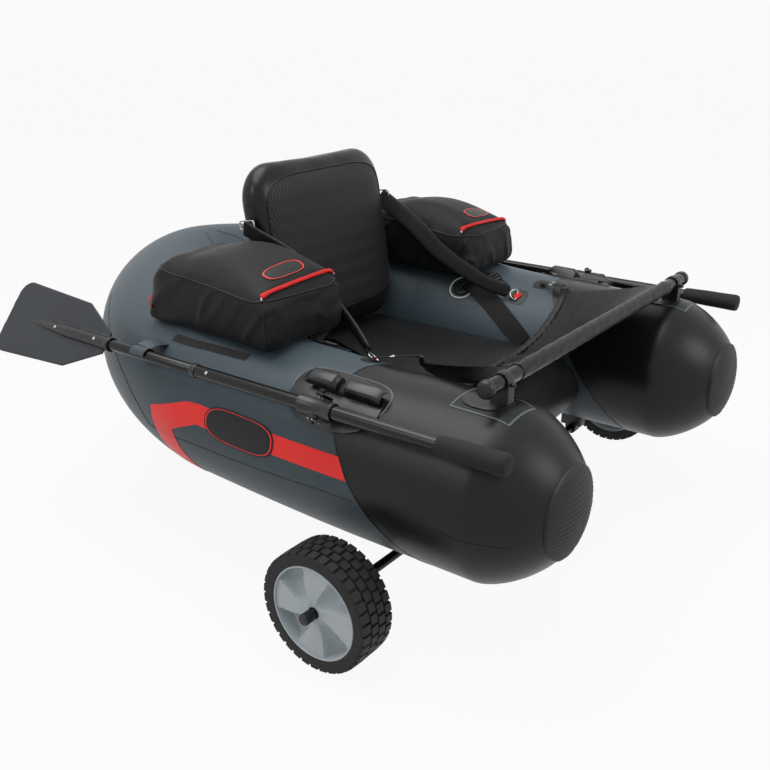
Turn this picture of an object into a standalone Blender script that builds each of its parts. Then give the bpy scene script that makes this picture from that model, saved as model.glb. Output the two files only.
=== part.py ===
# Inflatable float tube with stowed oars, side bags, backrest and a two-wheel trolley axle.
# Units are metres. +Z is up, +Y points to the stern and +X to the angler's left hand.
# The origin is on the ground under the middle of the hull.

import math

import bmesh
import bpy
from mathutils import Matrix, Vector

for old_object in list(bpy.data.objects):
    bpy.data.objects.remove(old_object, do_unlink=True)

# Clearances and mesh sizes
GAP = 0.0003
RUNNING_GAP = 0.0003
OVERRUN = 0.02
WELD = 0.00001
SINK = 0.003
CLOTH = 0.002

# Hull tube
HULL_LENGTH = 1.658
TUBE_R = 0.184
COCKPIT_HALF = 0.245
HULL_CLEARANCE = 0.165
STERN_SWELL = 0.016
STERN_RISE = 0.083
RISE_LENGTH = 1.01
RISE_POWER = 1.6
BEND_LENGTH = 0.570
BEND_POWER = 1.65
NOSE_CAP_DEPTH = 0.028
NOSE_TAPER = 0.148
NOSE_BLUNT = 0.010
NOSE_FLAT_R = 0.058
NOSE_POWER = 1.46
TUBE_SIDES = 24
BEND_STEPS = 10
NOSE_STEPS = 6
RISE_STEPS = 4

# Diagonal seam between the black bow skin and the grey skin
SEAM_AFT = 0.343
SEAM_RAKE = math.radians(36.5)
SEAM_YAW = math.radians(9.9)
HULL_SEAM_GAP = 0.0004

TUBE_X = COCKPIT_HALF + TUBE_R
TUBE_Z = HULL_CLEARANCE + TUBE_R
CREST_Z = TUBE_Z + TUBE_R
STERN_R = TUBE_R + STERN_SWELL
STERN_END_Y = HULL_LENGTH / 2
NOSE_END_Y = -HULL_LENGTH / 2
STERN_Y = STERN_END_Y - STERN_R
BEND_Y = STERN_Y - BEND_LENGTH
RISE_Y = STERN_Y - RISE_LENGTH
CAP_Y = NOSE_END_Y + NOSE_CAP_DEPTH
TAPER_Y = NOSE_END_Y + NOSE_BLUNT + NOSE_TAPER

part = bpy.data.collections.new("float_tube")
bpy.context.scene.collection.children.link(part)
bench = bpy.data.collections.new("cutters")
bpy.context.scene.collection.children.link(bench)


# Materials

def finish(name, colour, roughness, metallic=0.0):
    made = bpy.data.materials.new(name)
    made.use_nodes = True
    made.diffuse_color = (*colour, 1)
    shader = made.node_tree.nodes["Principled BSDF"]
    shader.inputs["Base Color"].default_value = (*colour, 1)
    shader.inputs["Roughness"].default_value = roughness
    shader.inputs["Metallic"].default_value = metallic
    return made


GREY_SKIN = finish("grey_skin", (0.072, 0.092, 0.112), 0.42)
BLACK_SKIN = finish("black_skin", (0.030, 0.030, 0.031), 0.38)
RUBBER = finish("ribbed_rubber", (0.035, 0.036, 0.037), 0.60)
NYLON = finish("bag_nylon", (0.018, 0.018, 0.020), 0.55)
PAD_SKIN = finish("pad_skin", (0.022, 0.022, 0.024), 0.48)
WEBBING = finish("webbing", (0.014, 0.014, 0.015), 0.80)
TUBE_ALLOY = finish("coated_tube", (0.020, 0.021, 0.023), 0.32, 0.2)
MOULDED = finish("moulded_plastic", (0.020, 0.020, 0.021), 0.40)
FOAM = finish("grip_foam", (0.028, 0.028, 0.029), 0.85)
BLADE_PLASTIC = finish("blade_plastic", (0.032, 0.037, 0.043), 0.50)
STEEL = finish("bright_steel", (0.62, 0.63, 0.65), 0.25, 1.0)
RED_TAB = finish("red_tab", (0.78, 0.035, 0.035), 0.55)
VALVE_WHITE = finish("valve_ring", (0.60, 0.62, 0.62), 0.45)
TYRE_RUBBER = finish("tyre_rubber", (0.020, 0.019, 0.020), 0.75)
RIM_PLASTIC = finish("rim_plastic", (0.33, 0.36, 0.38), 0.50)


# Mesh tools

def mesh_from(bm):
    bmesh.ops.recalc_face_normals(bm, faces=bm.faces)
    mesh = bpy.data.meshes.new("shape")
    bm.to_mesh(mesh)
    bm.free()
    return mesh


def on_bench(data):
    ob = bpy.data.objects.new("blank", data)
    bench.objects.link(ob)
    ob.display_type = "WIRE"
    ob.hide_render = True
    return ob


def baked(ob, weld=WELD):
    """Turns an object with its modifiers into one welded mesh and clears it from the bench."""
    seen = ob.evaluated_get(bpy.context.evaluated_depsgraph_get())
    mesh = bpy.data.meshes.new_from_object(seen)
    bpy.data.objects.remove(ob, do_unlink=True)
    bm = bmesh.new()
    bm.from_mesh(mesh)
    bmesh.ops.remove_doubles(bm, verts=bm.verts, dist=weld)
    bpy.data.meshes.remove(mesh)
    return mesh_from(bm)


def boolean(base, tool, operation="DIFFERENCE"):
    body = on_bench(base)
    cutter = on_bench(tool)
    cut = body.modifiers.new("cut", "BOOLEAN")
    cut.operation = operation
    cut.solver = "EXACT"
    cut.object = cutter
    result = baked(body)
    bpy.data.objects.remove(cutter, do_unlink=True)
    return result


def joined(*meshes):
    result = meshes[0]
    for extra in meshes[1:]:
        result = boolean(result, extra, "UNION")
    return result


def placed(mesh, matrix):
    mesh.transform(matrix)
    if matrix.determinant() < 0:
        mesh.flip_normals()
    return mesh


def frame(origin, z_axis, x_hint=(1, 0, 0)):
    """Matrix that stands a shape at origin, with its Z along z_axis."""
    z_dir = Vector(z_axis).normalized()
    y_dir = z_dir.cross(Vector(x_hint)).normalized()
    x_dir = y_dir.cross(z_dir)
    turn = Matrix((x_dir, y_dir, z_dir)).transposed().to_4x4()
    return Matrix.Translation(origin) @ turn


def turned(profile, steps, matrix, closed=False):
    """Spins a profile of (radius, height) points about Z; closed joins its last point to its first."""
    bm = bmesh.new()
    corners = [bm.verts.new((radius, 0, height)) for radius, height in profile]
    pairs = list(zip(corners, corners[1:]))
    if closed:
        pairs.append((corners[-1], corners[0]))
    for first, second in pairs:
        bm.edges.new((first, second))
    mesh = bpy.data.meshes.new("profile")
    bm.to_mesh(mesh)
    bm.free()
    ob = on_bench(mesh)
    spin = ob.modifiers.new("spin", "SCREW")
    spin.steps = steps
    spin.render_steps = steps
    spin.use_merge_vertices = True
    spin.merge_threshold = WELD
    return placed(baked(ob), matrix)


def cylinder(radius, low, high, steps, matrix):
    return turned([(0, high), (radius, high), (radius, low), (0, low)], steps, matrix)


def pipe(outer, bore, low, high, steps, matrix):
    ring = [(outer, high), (outer, low), (bore, low), (bore, high)]
    return turned(ring, steps, matrix, closed=True)


def block(low, high, bevel=0.0, segments=1):
    """A box between two corners, with all its edges rounded by bevel."""
    low, high = Vector(low), Vector(high)
    bm = bmesh.new()
    bmesh.ops.create_cube(bm, size=1)
    size = high - low
    middle = (high + low) / 2
    bmesh.ops.transform(bm, matrix=Matrix.Translation(middle) @ Matrix.Diagonal((*size, 1)), verts=bm.verts)
    if bevel:
        bmesh.ops.bevel(bm, geom=list(bm.edges), offset=bevel, segments=segments, profile=0.5, affect="EDGES")
    return mesh_from(bm)


def loft(rings, closed=False):
    """Skins rings with equal counts of points; the ends are capped unless the loft is closed."""
    bm = bmesh.new()
    rows = [[bm.verts.new(point) for point in ring] for ring in rings]
    pairs = list(zip(rows, rows[1:]))
    if closed:
        pairs.append((rows[-1], rows[0]))
    count = len(rows[0])
    for row, following in pairs:
        for i in range(count):
            j = (i + 1) % count
            bm.faces.new((row[i], row[j], following[j], following[i]))
    if not closed:
        bm.faces.new(rows[0][::-1])
        bm.faces.new(rows[-1])
    return mesh_from(bm)


def oval(centre, u_axis, v_axis, half_u, half_v, count, power=2.0):
    """A ring of points on a superellipse: power 2 is an ellipse and a high power nearly a box."""
    centre, u_axis, v_axis = Vector(centre), Vector(u_axis), Vector(v_axis)
    ring = []
    for i in range(count):
        angle = math.tau * (i + 0.5) / count
        u = math.copysign(abs(math.cos(angle)) ** (2 / power), math.cos(angle)) * half_u
        v = math.copysign(abs(math.sin(angle)) ** (2 / power), math.sin(angle)) * half_v
        ring.append(centre + u_axis * u + v_axis * v)
    return ring


def wire(points, radius, closed=False, resolution=1, radii=None):
    """A round wire, tube or tapered skin along points."""
    curve = bpy.data.curves.new("wire", "CURVE")
    curve.dimensions = "3D"
    curve.bevel_depth = radius
    curve.bevel_resolution = resolution
    curve.use_fill_caps = True
    spline = curve.splines.new("POLY")
    spline.points.add(len(points) - 1)
    for i, point in enumerate(points):
        spline.points[i].co = (*point, 1)
        spline.points[i].radius = radii[i] / radius if radii else 1
    spline.use_cyclic_u = closed
    return baked(on_bench(curve))


def ribbon(points, faces_to, width, thickness, count=8, power=3.5):
    """A flat strap along points, whose broad side looks along faces_to at each point."""
    points = [Vector(point) for point in points]
    rings = []
    for i, point in enumerate(points):
        ahead = points[min(i + 1, len(points) - 1)] - points[max(i - 1, 0)]
        normal = Vector(faces_to[i] if isinstance(faces_to, list) else faces_to)
        across = ahead.cross(normal).normalized()
        normal = across.cross(ahead).normalized()
        rings.append(oval(point, across, normal, width / 2, thickness / 2, count, power))
    return loft(rings)


def smooth_route(knots, steps):
    """Points on one smooth curve through the knots."""
    knots = [Vector(knot) for knot in knots]
    padded = [2 * knots[0] - knots[1], *knots, 2 * knots[-1] - knots[-2]]
    route = []
    for before, start, end, after in zip(padded, padded[1:], padded[2:], padded[3:]):
        for step in range(steps):
            t = step / steps
            route.append(0.5 * (2 * start + (end - before) * t
                                + (2 * before - 5 * start + 4 * end - after) * t * t
                                + (3 * start - before - 3 * end + after) * t ** 3))
    route.append(knots[-1])
    return route


def sliced(mesh, point, normal):
    """Keeps the part of a closed mesh behind a plane and caps the cut."""
    bm = bmesh.new()
    bm.from_mesh(mesh)
    cut = bmesh.ops.bisect_plane(
        bm, geom=list(bm.verts) + list(bm.edges) + list(bm.faces), dist=WELD,
        plane_co=point, plane_no=normal, clear_outer=True)
    rim = [item for item in cut["geom_cut"] if isinstance(item, bmesh.types.BMEdge)]
    bmesh.ops.edgeloop_fill(bm, edges=rim)
    bmesh.ops.remove_doubles(bm, verts=bm.verts, dist=WELD)
    return mesh_from(bm)


# Finished pieces

def keep(name, mesh, skin, origin=(0, 0, 0), sharp=math.radians(35)):
    """Adds a finished piece, with its origin at the given point."""
    mesh.transform(Matrix.Translation(-Vector(origin)))
    mesh.name = name
    mesh.materials.clear()
    mesh.materials.append(skin)
    mesh.shade_smooth()
    mesh.set_sharp_from_angle(angle=sharp)
    ob = bpy.data.objects.new(name, mesh)
    ob.location = origin
    part.objects.link(ob)
    return ob


def keep_pair(name, mesh, skin, origin=(0, 0, 0), sharp=math.radians(35)):
    """Adds a piece modelled on the angler's left, and its mirror image on the right."""
    twin = mesh.copy()
    placed(twin, Matrix.Diagonal((-1, 1, 1, 1)))
    keep(name + "_left", mesh, skin, origin, sharp)
    keep(name + "_right", twin, skin, (-origin[0], origin[1], origin[2]), sharp)


# Hull centreline

def grow(y):
    """How far aft a station lies along the rising stern, from 0 to 1, after easing."""
    return max(0.0, (y - RISE_Y) / RISE_LENGTH) ** RISE_POWER


def tube_radius(y):
    if y < TAPER_Y:
        share = max(0.0, 1 - (TAPER_Y - y) / NOSE_TAPER)
        swell = (1 - (1 - share) ** NOSE_POWER) ** (1 / NOSE_POWER)
        return NOSE_FLAT_R + (TUBE_R - NOSE_FLAT_R) * swell
    return TUBE_R + (STERN_R - TUBE_R) * grow(y)


def tube_height(y):
    return TUBE_Z + STERN_RISE * grow(y)


def spine_point(x, y):
    return Vector((x, y, tube_height(y)))


def bend_point(share):
    """Centreline point on the left quarter of the stern: 0 where the bend starts, 1 at the middle."""
    angle = share * math.pi / 2
    x = TUBE_X * max(0.0, math.cos(angle)) ** (2 / BEND_POWER)
    y = BEND_Y + BEND_LENGTH * math.sin(angle) ** (2 / BEND_POWER)
    return spine_point(x, y)


def left_spine():
    """Stations from the nose cap to the middle of the stern."""
    stations = [CAP_Y + (TAPER_Y - CAP_Y) * (i / NOSE_STEPS) ** 1.5 for i in range(NOSE_STEPS + 1)]
    stations.append(RISE_Y)
    stations += [RISE_Y + (BEND_Y - RISE_Y) * i / RISE_STEPS for i in range(1, RISE_STEPS)]
    points = [spine_point(TUBE_X, y) for y in stations]
    return points + [bend_point(i / BEND_STEPS) for i in range(BEND_STEPS + 1)]


LEFT_SPINE = left_spine()


def hull_room(point):
    """Distance from a point to the left half of the hull's skin; negative inside it."""
    best = None
    for start, end in zip(LEFT_SPINE, LEFT_SPINE[1:]):
        run = end - start
        share = min(1.0, max(0.0, (point - start).dot(run) / run.length_squared))
        near = start + run * share
        room = (point - near).length - tube_radius(near.y)
        best = room if best is None else min(best, room)
    return best


def hull_tube(room=0.0):
    """The whole U tube, fatter by the given room where it is a cutter."""
    right = [Vector((-p.x, p.y, p.z)) for p in LEFT_SPINE[:-1]]
    points = LEFT_SPINE + right[::-1]
    radii = [tube_radius(p.y) + room for p in points]
    return wire(points, TUBE_R, resolution=(TUBE_SIDES - 4) // 2, radii=radii)


def seated(mesh):
    """Trims whatever is sunk into the hull's skin, so that the piece fits it face to face."""
    return boolean(mesh, hull_tube(GAP))


def skin_frame(y, angle):
    """Point, outward normal, fore-and-aft tangent and sideways tangent on the left pontoon's skin.
    The angle is from the crest, positive outboard."""
    step = GAP
    axis = spine_point(TUBE_X, y)
    along = (spine_point(TUBE_X, y + step) - axis).normalized()
    side = Vector((1, 0, 0))
    up = side.cross(along)
    normal = (side * math.sin(angle) + up * math.cos(angle)).normalized()
    across = (side * math.cos(angle) - up * math.sin(angle)).normalized()
    return axis + normal * tube_radius(y), normal, along, across


def skin_point(y, angle, lift):
    point, normal, _, _ = skin_frame(y, angle)
    return point + normal * lift


def skin_pad(y, angle, half_length, half_width, thickness, power=2.6, count=20, rings=2):
    """A pad that follows the round skin, with a superellipse outline and its underside sunk."""
    layers = []
    for lift in (-SINK, thickness):
        layer = []
        for ring in range(rings, 0, -1):
            reach = ring / rings
            row = []
            for flat in oval((0, 0, 0), (1, 0, 0), (0, 1, 0), half_length * reach, half_width * reach, count, power):
                row.append(skin_point(y + flat.x, angle + flat.y / TUBE_R, lift))
            layer.append(row)
        layer.append([skin_point(y, angle, lift)])
        layers.append(layer)
    bm = bmesh.new()
    made = [[[bm.verts.new(point) for point in row] for row in layer] for layer in layers]
    for layer in made:
        for row, inner in zip(layer, layer[1:]):
            for i in range(count):
                j = (i + 1) % count
                if len(inner) == 1:
                    bm.faces.new((row[i], row[j], inner[0]))
                else:
                    bm.faces.new((row[i], row[j], inner[j], inner[i]))
    for i in range(count):
        j = (i + 1) % count
        bm.faces.new((made[0][0][i], made[0][0][j], made[1][0][j], made[1][0][i]))
    return mesh_from(bm)


# Hull skins, cut from the swept tube at its seams

SEAM_NORMAL = Vector((-math.tan(SEAM_YAW), 1, -math.tan(SEAM_RAKE))).normalized()
SEAM_POINT = Vector((TUBE_X, TAPER_Y + SEAM_AFT, CREST_Z))


def build_hull():
    tube = hull_tube()
    bend_seam = Vector((0, BEND_Y, 0))
    aft = Vector((0, 1, 0))
    half = HULL_SEAM_GAP / 2
    keep("stern_tube", sliced(tube, bend_seam + aft * half, -aft), GREY_SKIN)
    left = Vector((-1, 0, 0))
    leg = sliced(sliced(tube, bend_seam - aft * half, aft), Vector((0, 0, 0)), left)
    keep_pair("pontoon", sliced(leg, SEAM_POINT + SEAM_NORMAL * half, -SEAM_NORMAL), GREY_SKIN)
    keep_pair("bow", sliced(leg, SEAM_POINT - SEAM_NORMAL * half, SEAM_NORMAL), BLACK_SKIN)


# Ribbed rubber nose caps

CAP_RIBS = 8
CAP_RIB_HEIGHT = 0.003
CAP_EDGE = 0.006
CAP_COLUMNS = 6


def build_nose_caps():
    """A shallow dome with level ribs across it, closed by a flat back on the bow's end."""
    radius = tube_radius(CAP_Y) - GAP
    back = CAP_Y - GAP
    rows = 2 * CAP_RIBS
    bm = bmesh.new()
    grid = []
    for row in range(rows + 1):
        height = -math.cos(math.pi * row / rows) * radius
        half = math.sqrt(max(0.0, radius ** 2 - height ** 2))
        ridge = CAP_RIB_HEIGHT if row % 2 else 0
        line = []
        for column in range(CAP_COLUMNS + 1):
            across = -math.cos(math.pi * column / CAP_COLUMNS) * half
            reach = min(1.0, math.hypot(across, height) / radius)
            dome = (NOSE_CAP_DEPTH - CAP_EDGE - CAP_RIB_HEIGHT) * math.sqrt(max(0.0, 1 - reach ** 2))
            edge = reach > 1 - WELD
            depth = CAP_EDGE + dome + (0 if edge else ridge)
            line.append(bm.verts.new((TUBE_X + across, back - depth, TUBE_Z + height)))
            if half < WELD:
                break
        grid.append(line)
    for lower, upper in zip(grid, grid[1:]):
        for i in range(CAP_COLUMNS):
            if len(lower) == 1:
                bm.faces.new((lower[0], upper[i], upper[i + 1]))
            elif len(upper) == 1:
                bm.faces.new((lower[i], lower[i + 1], upper[0]))
            else:
                bm.faces.new((lower[i], lower[i + 1], upper[i + 1], upper[i]))
    rim = [edge for edge in bm.edges if edge.is_boundary]
    skirt = bmesh.ops.extrude_edge_only(bm, edges=rim)
    low_edge = [item for item in skirt["geom"] if isinstance(item, bmesh.types.BMVert)]
    for vert in low_edge:
        vert.co.y = back
    bmesh.ops.edgeloop_fill(bm, edges=[edge for edge in bm.edges if edge.is_boundary])
    keep_pair("nose_cap", mesh_from(bm), RUBBER)


# Seat cushion, squeezed between the pontoons

SEAT_BELOW_CREST = 0.123
SEAT_TOP = CREST_Z - SEAT_BELOW_CREST
SEAT_CLEARANCE = 0.040
SEAT_BOTTOM = HULL_CLEARANCE + SEAT_CLEARANCE
SEAT_SET_BACK = 0.174
SEAT_FRONT_Y = TAPER_Y + SEAT_SET_BACK
SEAT_STERN_ROOM = 0.129
SEAT_BACK_Y = STERN_Y - STERN_R - SEAT_STERN_ROOM
SEAT_CROWN = 0.010
SEAT_NOSE = 0.110
SEAT_TAIL = 0.040
SEAT_SQUEEZE = 0.045
SEAT_HALF_WIDTH = COCKPIT_HALF + SEAT_SQUEEZE
SEAT_SECTION_POWER = 4.0
SEAT_COUNT = 20
SEAT_STEPS = 5
SEAT_END_STEPS = 5


def seat_stations():
    """Stations along the seat with the share of full height that each has."""
    nose = [(SEAT_FRONT_Y + SEAT_NOSE * (1 - math.cos(math.pi / 2 * i / SEAT_END_STEPS)),
             math.sin(math.pi / 2 * i / SEAT_END_STEPS)) for i in range(1, SEAT_END_STEPS)]
    start, end = SEAT_FRONT_Y + SEAT_NOSE, SEAT_BACK_Y - SEAT_TAIL
    body = [(start + (end - start) * i / SEAT_STEPS, 1.0) for i in range(SEAT_STEPS + 1)]
    tail = [(SEAT_BACK_Y - SEAT_TAIL * (1 - math.cos(math.pi / 2 * i / 3)),
             math.sin(math.pi / 2 * i / 3)) for i in (2, 1)]
    return nose + body + tail


def build_seat():
    middle = (SEAT_TOP + SEAT_BOTTOM) / 2
    rings = []
    for y, share in seat_stations():
        half = (SEAT_TOP - SEAT_BOTTOM) / 2 * share
        ring = []
        section = oval((0, y, middle), (1, 0, 0), (0, 0, 1), SEAT_HALF_WIDTH, half, SEAT_COUNT, SEAT_SECTION_POWER)
        for point in section:
            reach = min(1.0, abs(point.x) / SEAT_HALF_WIDTH)
            if point.z > middle:
                point.z += SEAT_CROWN * (1 - reach ** 2) * share
            ring.append(point)
        rings.append(ring)
    keep("seat_cushion", seated(loft(rings)), PAD_SKIN)


# Backrest

BACKREST_SET_FORWARD = 0.234
BACKREST_HINGE_Y = SEAT_BACK_Y - BACKREST_SET_FORWARD
BACKREST_FOOT_ROOM = 0.0096
BACKREST_HINGE_Z = SEAT_TOP + SEAT_CROWN + BACKREST_FOOT_ROOM
BACKREST_HEIGHT = 0.465
BACKREST_HALF_WIDTH = 0.262
BACKREST_THICKNESS = 0.107
BACKREST_RECLINE = math.radians(9.2)
BACKREST_CORNER = 0.095
BACKREST_PINCH = 0.004
BACKREST_DRAW_SHARE = 0.90
BACKREST_END_DEPTH_SHARE = 0.34
BACKREST_SECTION_POWER = 3.2
BACKREST_COUNT = 20
BACKREST_STEPS = 10


def backrest_place():
    """Matrix that stands the pad's own frame on its hinge line, leaning back."""
    return Matrix.Translation((0, BACKREST_HINGE_Y, BACKREST_HINGE_Z)) @ Matrix.Rotation(-BACKREST_RECLINE, 4, "X")


def build_backrest():
    """A stuffed pad stacked from rounded sections: crowned in front, drawn in at top and bottom."""
    rings = []
    for i in range(BACKREST_STEPS + 1):
        share = i / BACKREST_STEPS
        height = BACKREST_HEIGHT * (1 - math.cos(math.pi * share)) / 2
        to_end = min(height, BACKREST_HEIGHT - height)
        ease = min(1.0, to_end / BACKREST_CORNER)
        swell = math.sqrt(max(0.0, 1 - (1 - ease) ** 2))
        width = BACKREST_HALF_WIDTH - BACKREST_CORNER * (1 - swell) * BACKREST_DRAW_SHARE
        depth = BACKREST_THICKNESS / 2 * (BACKREST_END_DEPTH_SHARE + (1 - BACKREST_END_DEPTH_SHARE) * swell)
        waist = 1 - BACKREST_PINCH / BACKREST_HALF_WIDTH * math.sin(math.pi * share)
        centre = Vector((0, BACKREST_THICKNESS / 2, height))
        rings.append(oval(centre, (1, 0, 0), (0, 1, 0), width * waist, depth, BACKREST_COUNT, BACKREST_SECTION_POWER))
    pad = seated(placed(loft(rings), backrest_place()))
    keep("backrest", pad, PAD_SKIN, (0, BACKREST_HINGE_Y, BACKREST_HINGE_Z))


# Crossbar with its end plugs and hull clamps

BAR_SET_BACK = 0.022
BAR_Y = TAPER_Y + BAR_SET_BACK
BAR_ABOVE_CREST = 0.045
BAR_Z = CREST_Z + BAR_ABOVE_CREST
BAR_R = 0.0155
BAR_WALL = 0.0020
BAR_OVERHANG = 0.053
BAR_HALF_LENGTH = TUBE_X + BAR_OVERHANG
PLUG_R = 0.0185
PLUG_HEAD = 0.016
PLUG_ROUND = 0.004
PLUG_SPIGOT = 0.018
CLAMP_WIDTH = 0.022
CLAMP_WALL = 0.0035
CLAMP_FOOT = 0.020
CLAMP_PAD_SHIFT = 0.027
CLAMP_PAD_Y = BAR_Y + CLAMP_PAD_SHIFT
CLAMP_PAD_LENGTH = 0.051
CLAMP_PAD_WIDTH = 0.044
CLAMP_PAD_THICKNESS = 0.003
BAR_STEPS = 12
X_AXIS = (1, 0, 0)


def build_crossbar():
    middle = frame((0, BAR_Y, BAR_Z), X_AXIS, (0, 1, 0))
    tube = pipe(BAR_R, BAR_R - BAR_WALL, -BAR_HALF_LENGTH, BAR_HALF_LENGTH, BAR_STEPS, middle)
    keep("crossbar_tube", tube, TUBE_ALLOY)
    inner = BAR_HALF_LENGTH + GAP
    outer = inner + PLUG_HEAD
    spigot = BAR_R - BAR_WALL - GAP
    profile = [(0, outer), (PLUG_R - PLUG_ROUND, outer), (PLUG_R, outer - PLUG_ROUND), (PLUG_R, inner),
               (spigot, inner), (spigot, inner - PLUG_SPIGOT), (0, inner - PLUG_SPIGOT)]
    keep_pair("bar_plug", turned(profile, BAR_STEPS, middle), MOULDED)
    ring_r = BAR_R + RUNNING_GAP + CLAMP_WALL
    low, high = TUBE_X - CLAMP_WIDTH / 2, TUBE_X + CLAMP_WIDTH / 2
    ring = cylinder(ring_r, low, high, BAR_STEPS, middle)
    pad = skin_pad(CLAMP_PAD_Y, 0, CLAMP_PAD_LENGTH, CLAMP_PAD_WIDTH, CLAMP_PAD_THICKNESS, count=16)
    foot_z = TUBE_Z + TUBE_R + CLAMP_PAD_THICKNESS / 2
    foot = block((low, BAR_Y - CLAMP_FOOT, foot_z), (high, BAR_Y + CLAMP_FOOT, BAR_Z))
    bore = cylinder(BAR_R + RUNNING_GAP, low - OVERRUN, high + OVERRUN, BAR_STEPS, middle)
    keep_pair("bar_clamp", boolean(seated(joined(pad, foot, ring)), bore), MOULDED)


# Apron: a coated sheet hemmed round the crossbar, slung back over the lap

HEM_OVER_HULL = 0.129
HEM_HALF_LENGTH = COCKPIT_HALF + HEM_OVER_HULL
HEM_WALL = 0.0018
APRON_LENGTH = 0.263
APRON_REAR_Y = BAR_Y + APRON_LENGTH
APRON_CORNER_DROP = 0.037
APRON_CORNER_Z = BAR_Z - APRON_CORNER_DROP
APRON_SEAT_ROOM = 0.0185
APRON_REAR_Z = SEAT_TOP + APRON_SEAT_ROOM
APRON_HEM_MARGIN = 0.002
APRON_FRONT_HALF = HEM_HALF_LENGTH - APRON_HEM_MARGIN
APRON_NARROWING = 0.026
APRON_REAR_HALF = APRON_FRONT_HALF - APRON_NARROWING
APRON_SAG_POWER = 3.3
APRON_DROP_POWER = 1.8
APRON_SKIRT = 0.026
APRON_SKIRT_FRONT_SHARE = 0.35
APRON_SKIRT_REAR_SHARE = 0.70
APRON_START_SHARE = 0.35
APRON_FOLD = 0.004
APRON_FOLDS = 5
APRON_COLUMNS = 14
APRON_ROWS = 8
CORNER_WEB_REACH = 0.090
CORNER_WEB_Y = APRON_REAR_Y + CORNER_WEB_REACH
CORNER_WEB_ANGLE = math.radians(-14.7)
CORNER_WEB_WIDTH = 0.018
CORNER_WEB_THICKNESS = 0.0030


def apron_point(across, share):
    """Point on the sheet: across runs from -1 to 1, and share from the bar to the rear edge."""
    half = APRON_FRONT_HALF + (APRON_REAR_HALF - APRON_FRONT_HALF) * share
    front_y = BAR_Y + BAR_R
    front_z = BAR_Z + BAR_R * APRON_START_SHARE
    rear_z = APRON_REAR_Z + (APRON_CORNER_Z - APRON_REAR_Z) * abs(across) ** APRON_SAG_POWER
    y = front_y + (APRON_REAR_Y - front_y) * share
    z = rear_z + (front_z - rear_z) * (1 - share) ** (1 + (APRON_DROP_POWER - 1) * (1 - across ** 8))
    ripple = APRON_FOLD * math.cos(math.pi * APRON_FOLDS * across) * 4 * share * (1 - share)
    return Vector((half * across, y, z + ripple))


def corner_web(side):
    """A sewn web from the apron's rear corner back down to the hull's crest."""
    anchor, normal, along, _ = skin_frame(CORNER_WEB_Y, CORNER_WEB_ANGLE)
    corner = Vector((APRON_REAR_HALF, APRON_REAR_Y, APRON_CORNER_Z))
    into = Vector((-CORNER_WEB_WIDTH, -CORNER_WEB_WIDTH, 0))
    knots = [anchor + along * CORNER_WEB_WIDTH, anchor, anchor.lerp(corner, 0.5) + normal * CORNER_WEB_THICKNESS,
             corner, corner + into]
    web = ribbon(smooth_route(knots, 2), normal, CORNER_WEB_WIDTH, CORNER_WEB_THICKNESS, 4, 20)
    return placed(seated(web), Matrix.Diagonal((side, 1, 1, 1)))


def build_apron():
    bm = bmesh.new()
    grid = []
    for row in range(APRON_ROWS + 1):
        share = row / APRON_ROWS
        line = []
        for column in range(-1, APRON_COLUMNS + 2):
            across = min(1, max(-1, 2 * column / APRON_COLUMNS - 1))
            point = apron_point(across, share)
            if column < 0 or column > APRON_COLUMNS:
                grown = APRON_SKIRT_REAR_SHARE - APRON_SKIRT_FRONT_SHARE
                drop = APRON_SKIRT * (APRON_SKIRT_FRONT_SHARE + grown * share)
                point += Vector((0, 0, -drop))
            line.append(bm.verts.new(point))
        grid.append(line)
    for row, following in zip(grid, grid[1:]):
        for i in range(len(row) - 1):
            bm.faces.new((row[i], row[i + 1], following[i + 1], following[i]))
    sheet = on_bench(mesh_from(bm))
    wall = sheet.modifiers.new("wall", "SOLIDIFY")
    wall.thickness = CLOTH
    wall.offset = 0
    middle = frame((0, BAR_Y, BAR_Z), X_AXIS, (0, 1, 0))
    hem_r = BAR_R + GAP + HEM_WALL
    hem = cylinder(hem_r, -HEM_HALF_LENGTH, HEM_HALF_LENGTH, BAR_STEPS, middle)
    reach = HEM_HALF_LENGTH + OVERRUN
    bore = cylinder(BAR_R + GAP, -reach, reach, BAR_STEPS, middle)
    body = joined(boolean(joined(hem, baked(sheet)), bore), corner_web(1), corner_web(-1))
    keep("apron", body, BLACK_SKIN)


# Side bags on the pontoons' crests

BAG_LENGTH = 0.402
BAG_SET_FORWARD = 0.024
BAG_BACK_Y = SEAT_BACK_Y - BAG_SET_FORWARD
BAG_FRONT_Y = BAG_BACK_Y - BAG_LENGTH
BAG_INNER_X = BACKREST_HALF_WIDTH + GAP
BAG_WIDTH = 0.262
BAG_OUTER_X = BAG_INNER_X + BAG_WIDTH
BAG_HEIGHT = 0.152
BAG_FRONT_HEIGHT = 0.122
BAG_FLOOR_SINK = 0.006
BAG_SIDE_POWER = 6.5
BAG_END = 0.032
BAG_CROWN = 0.007
BAG_PULL_SHARE = 0.5
BAG_END_PULLS = (0.45, 1.0)
BAG_END_STATIONS = (0.15, 0.0)
BAG_LEAN = 0.006
BAG_TAIL_LEAN = 0.055
BAG_DROOP = 0.016
BAG_COUNT = 16
BAG_STEPS = 6


def bag_floor():
    """Height of the bag's level floor, which the rising hull dents from below."""
    return tube_height(BAG_FRONT_Y) + tube_radius(BAG_FRONT_Y) - BAG_FLOOR_SINK


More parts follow.
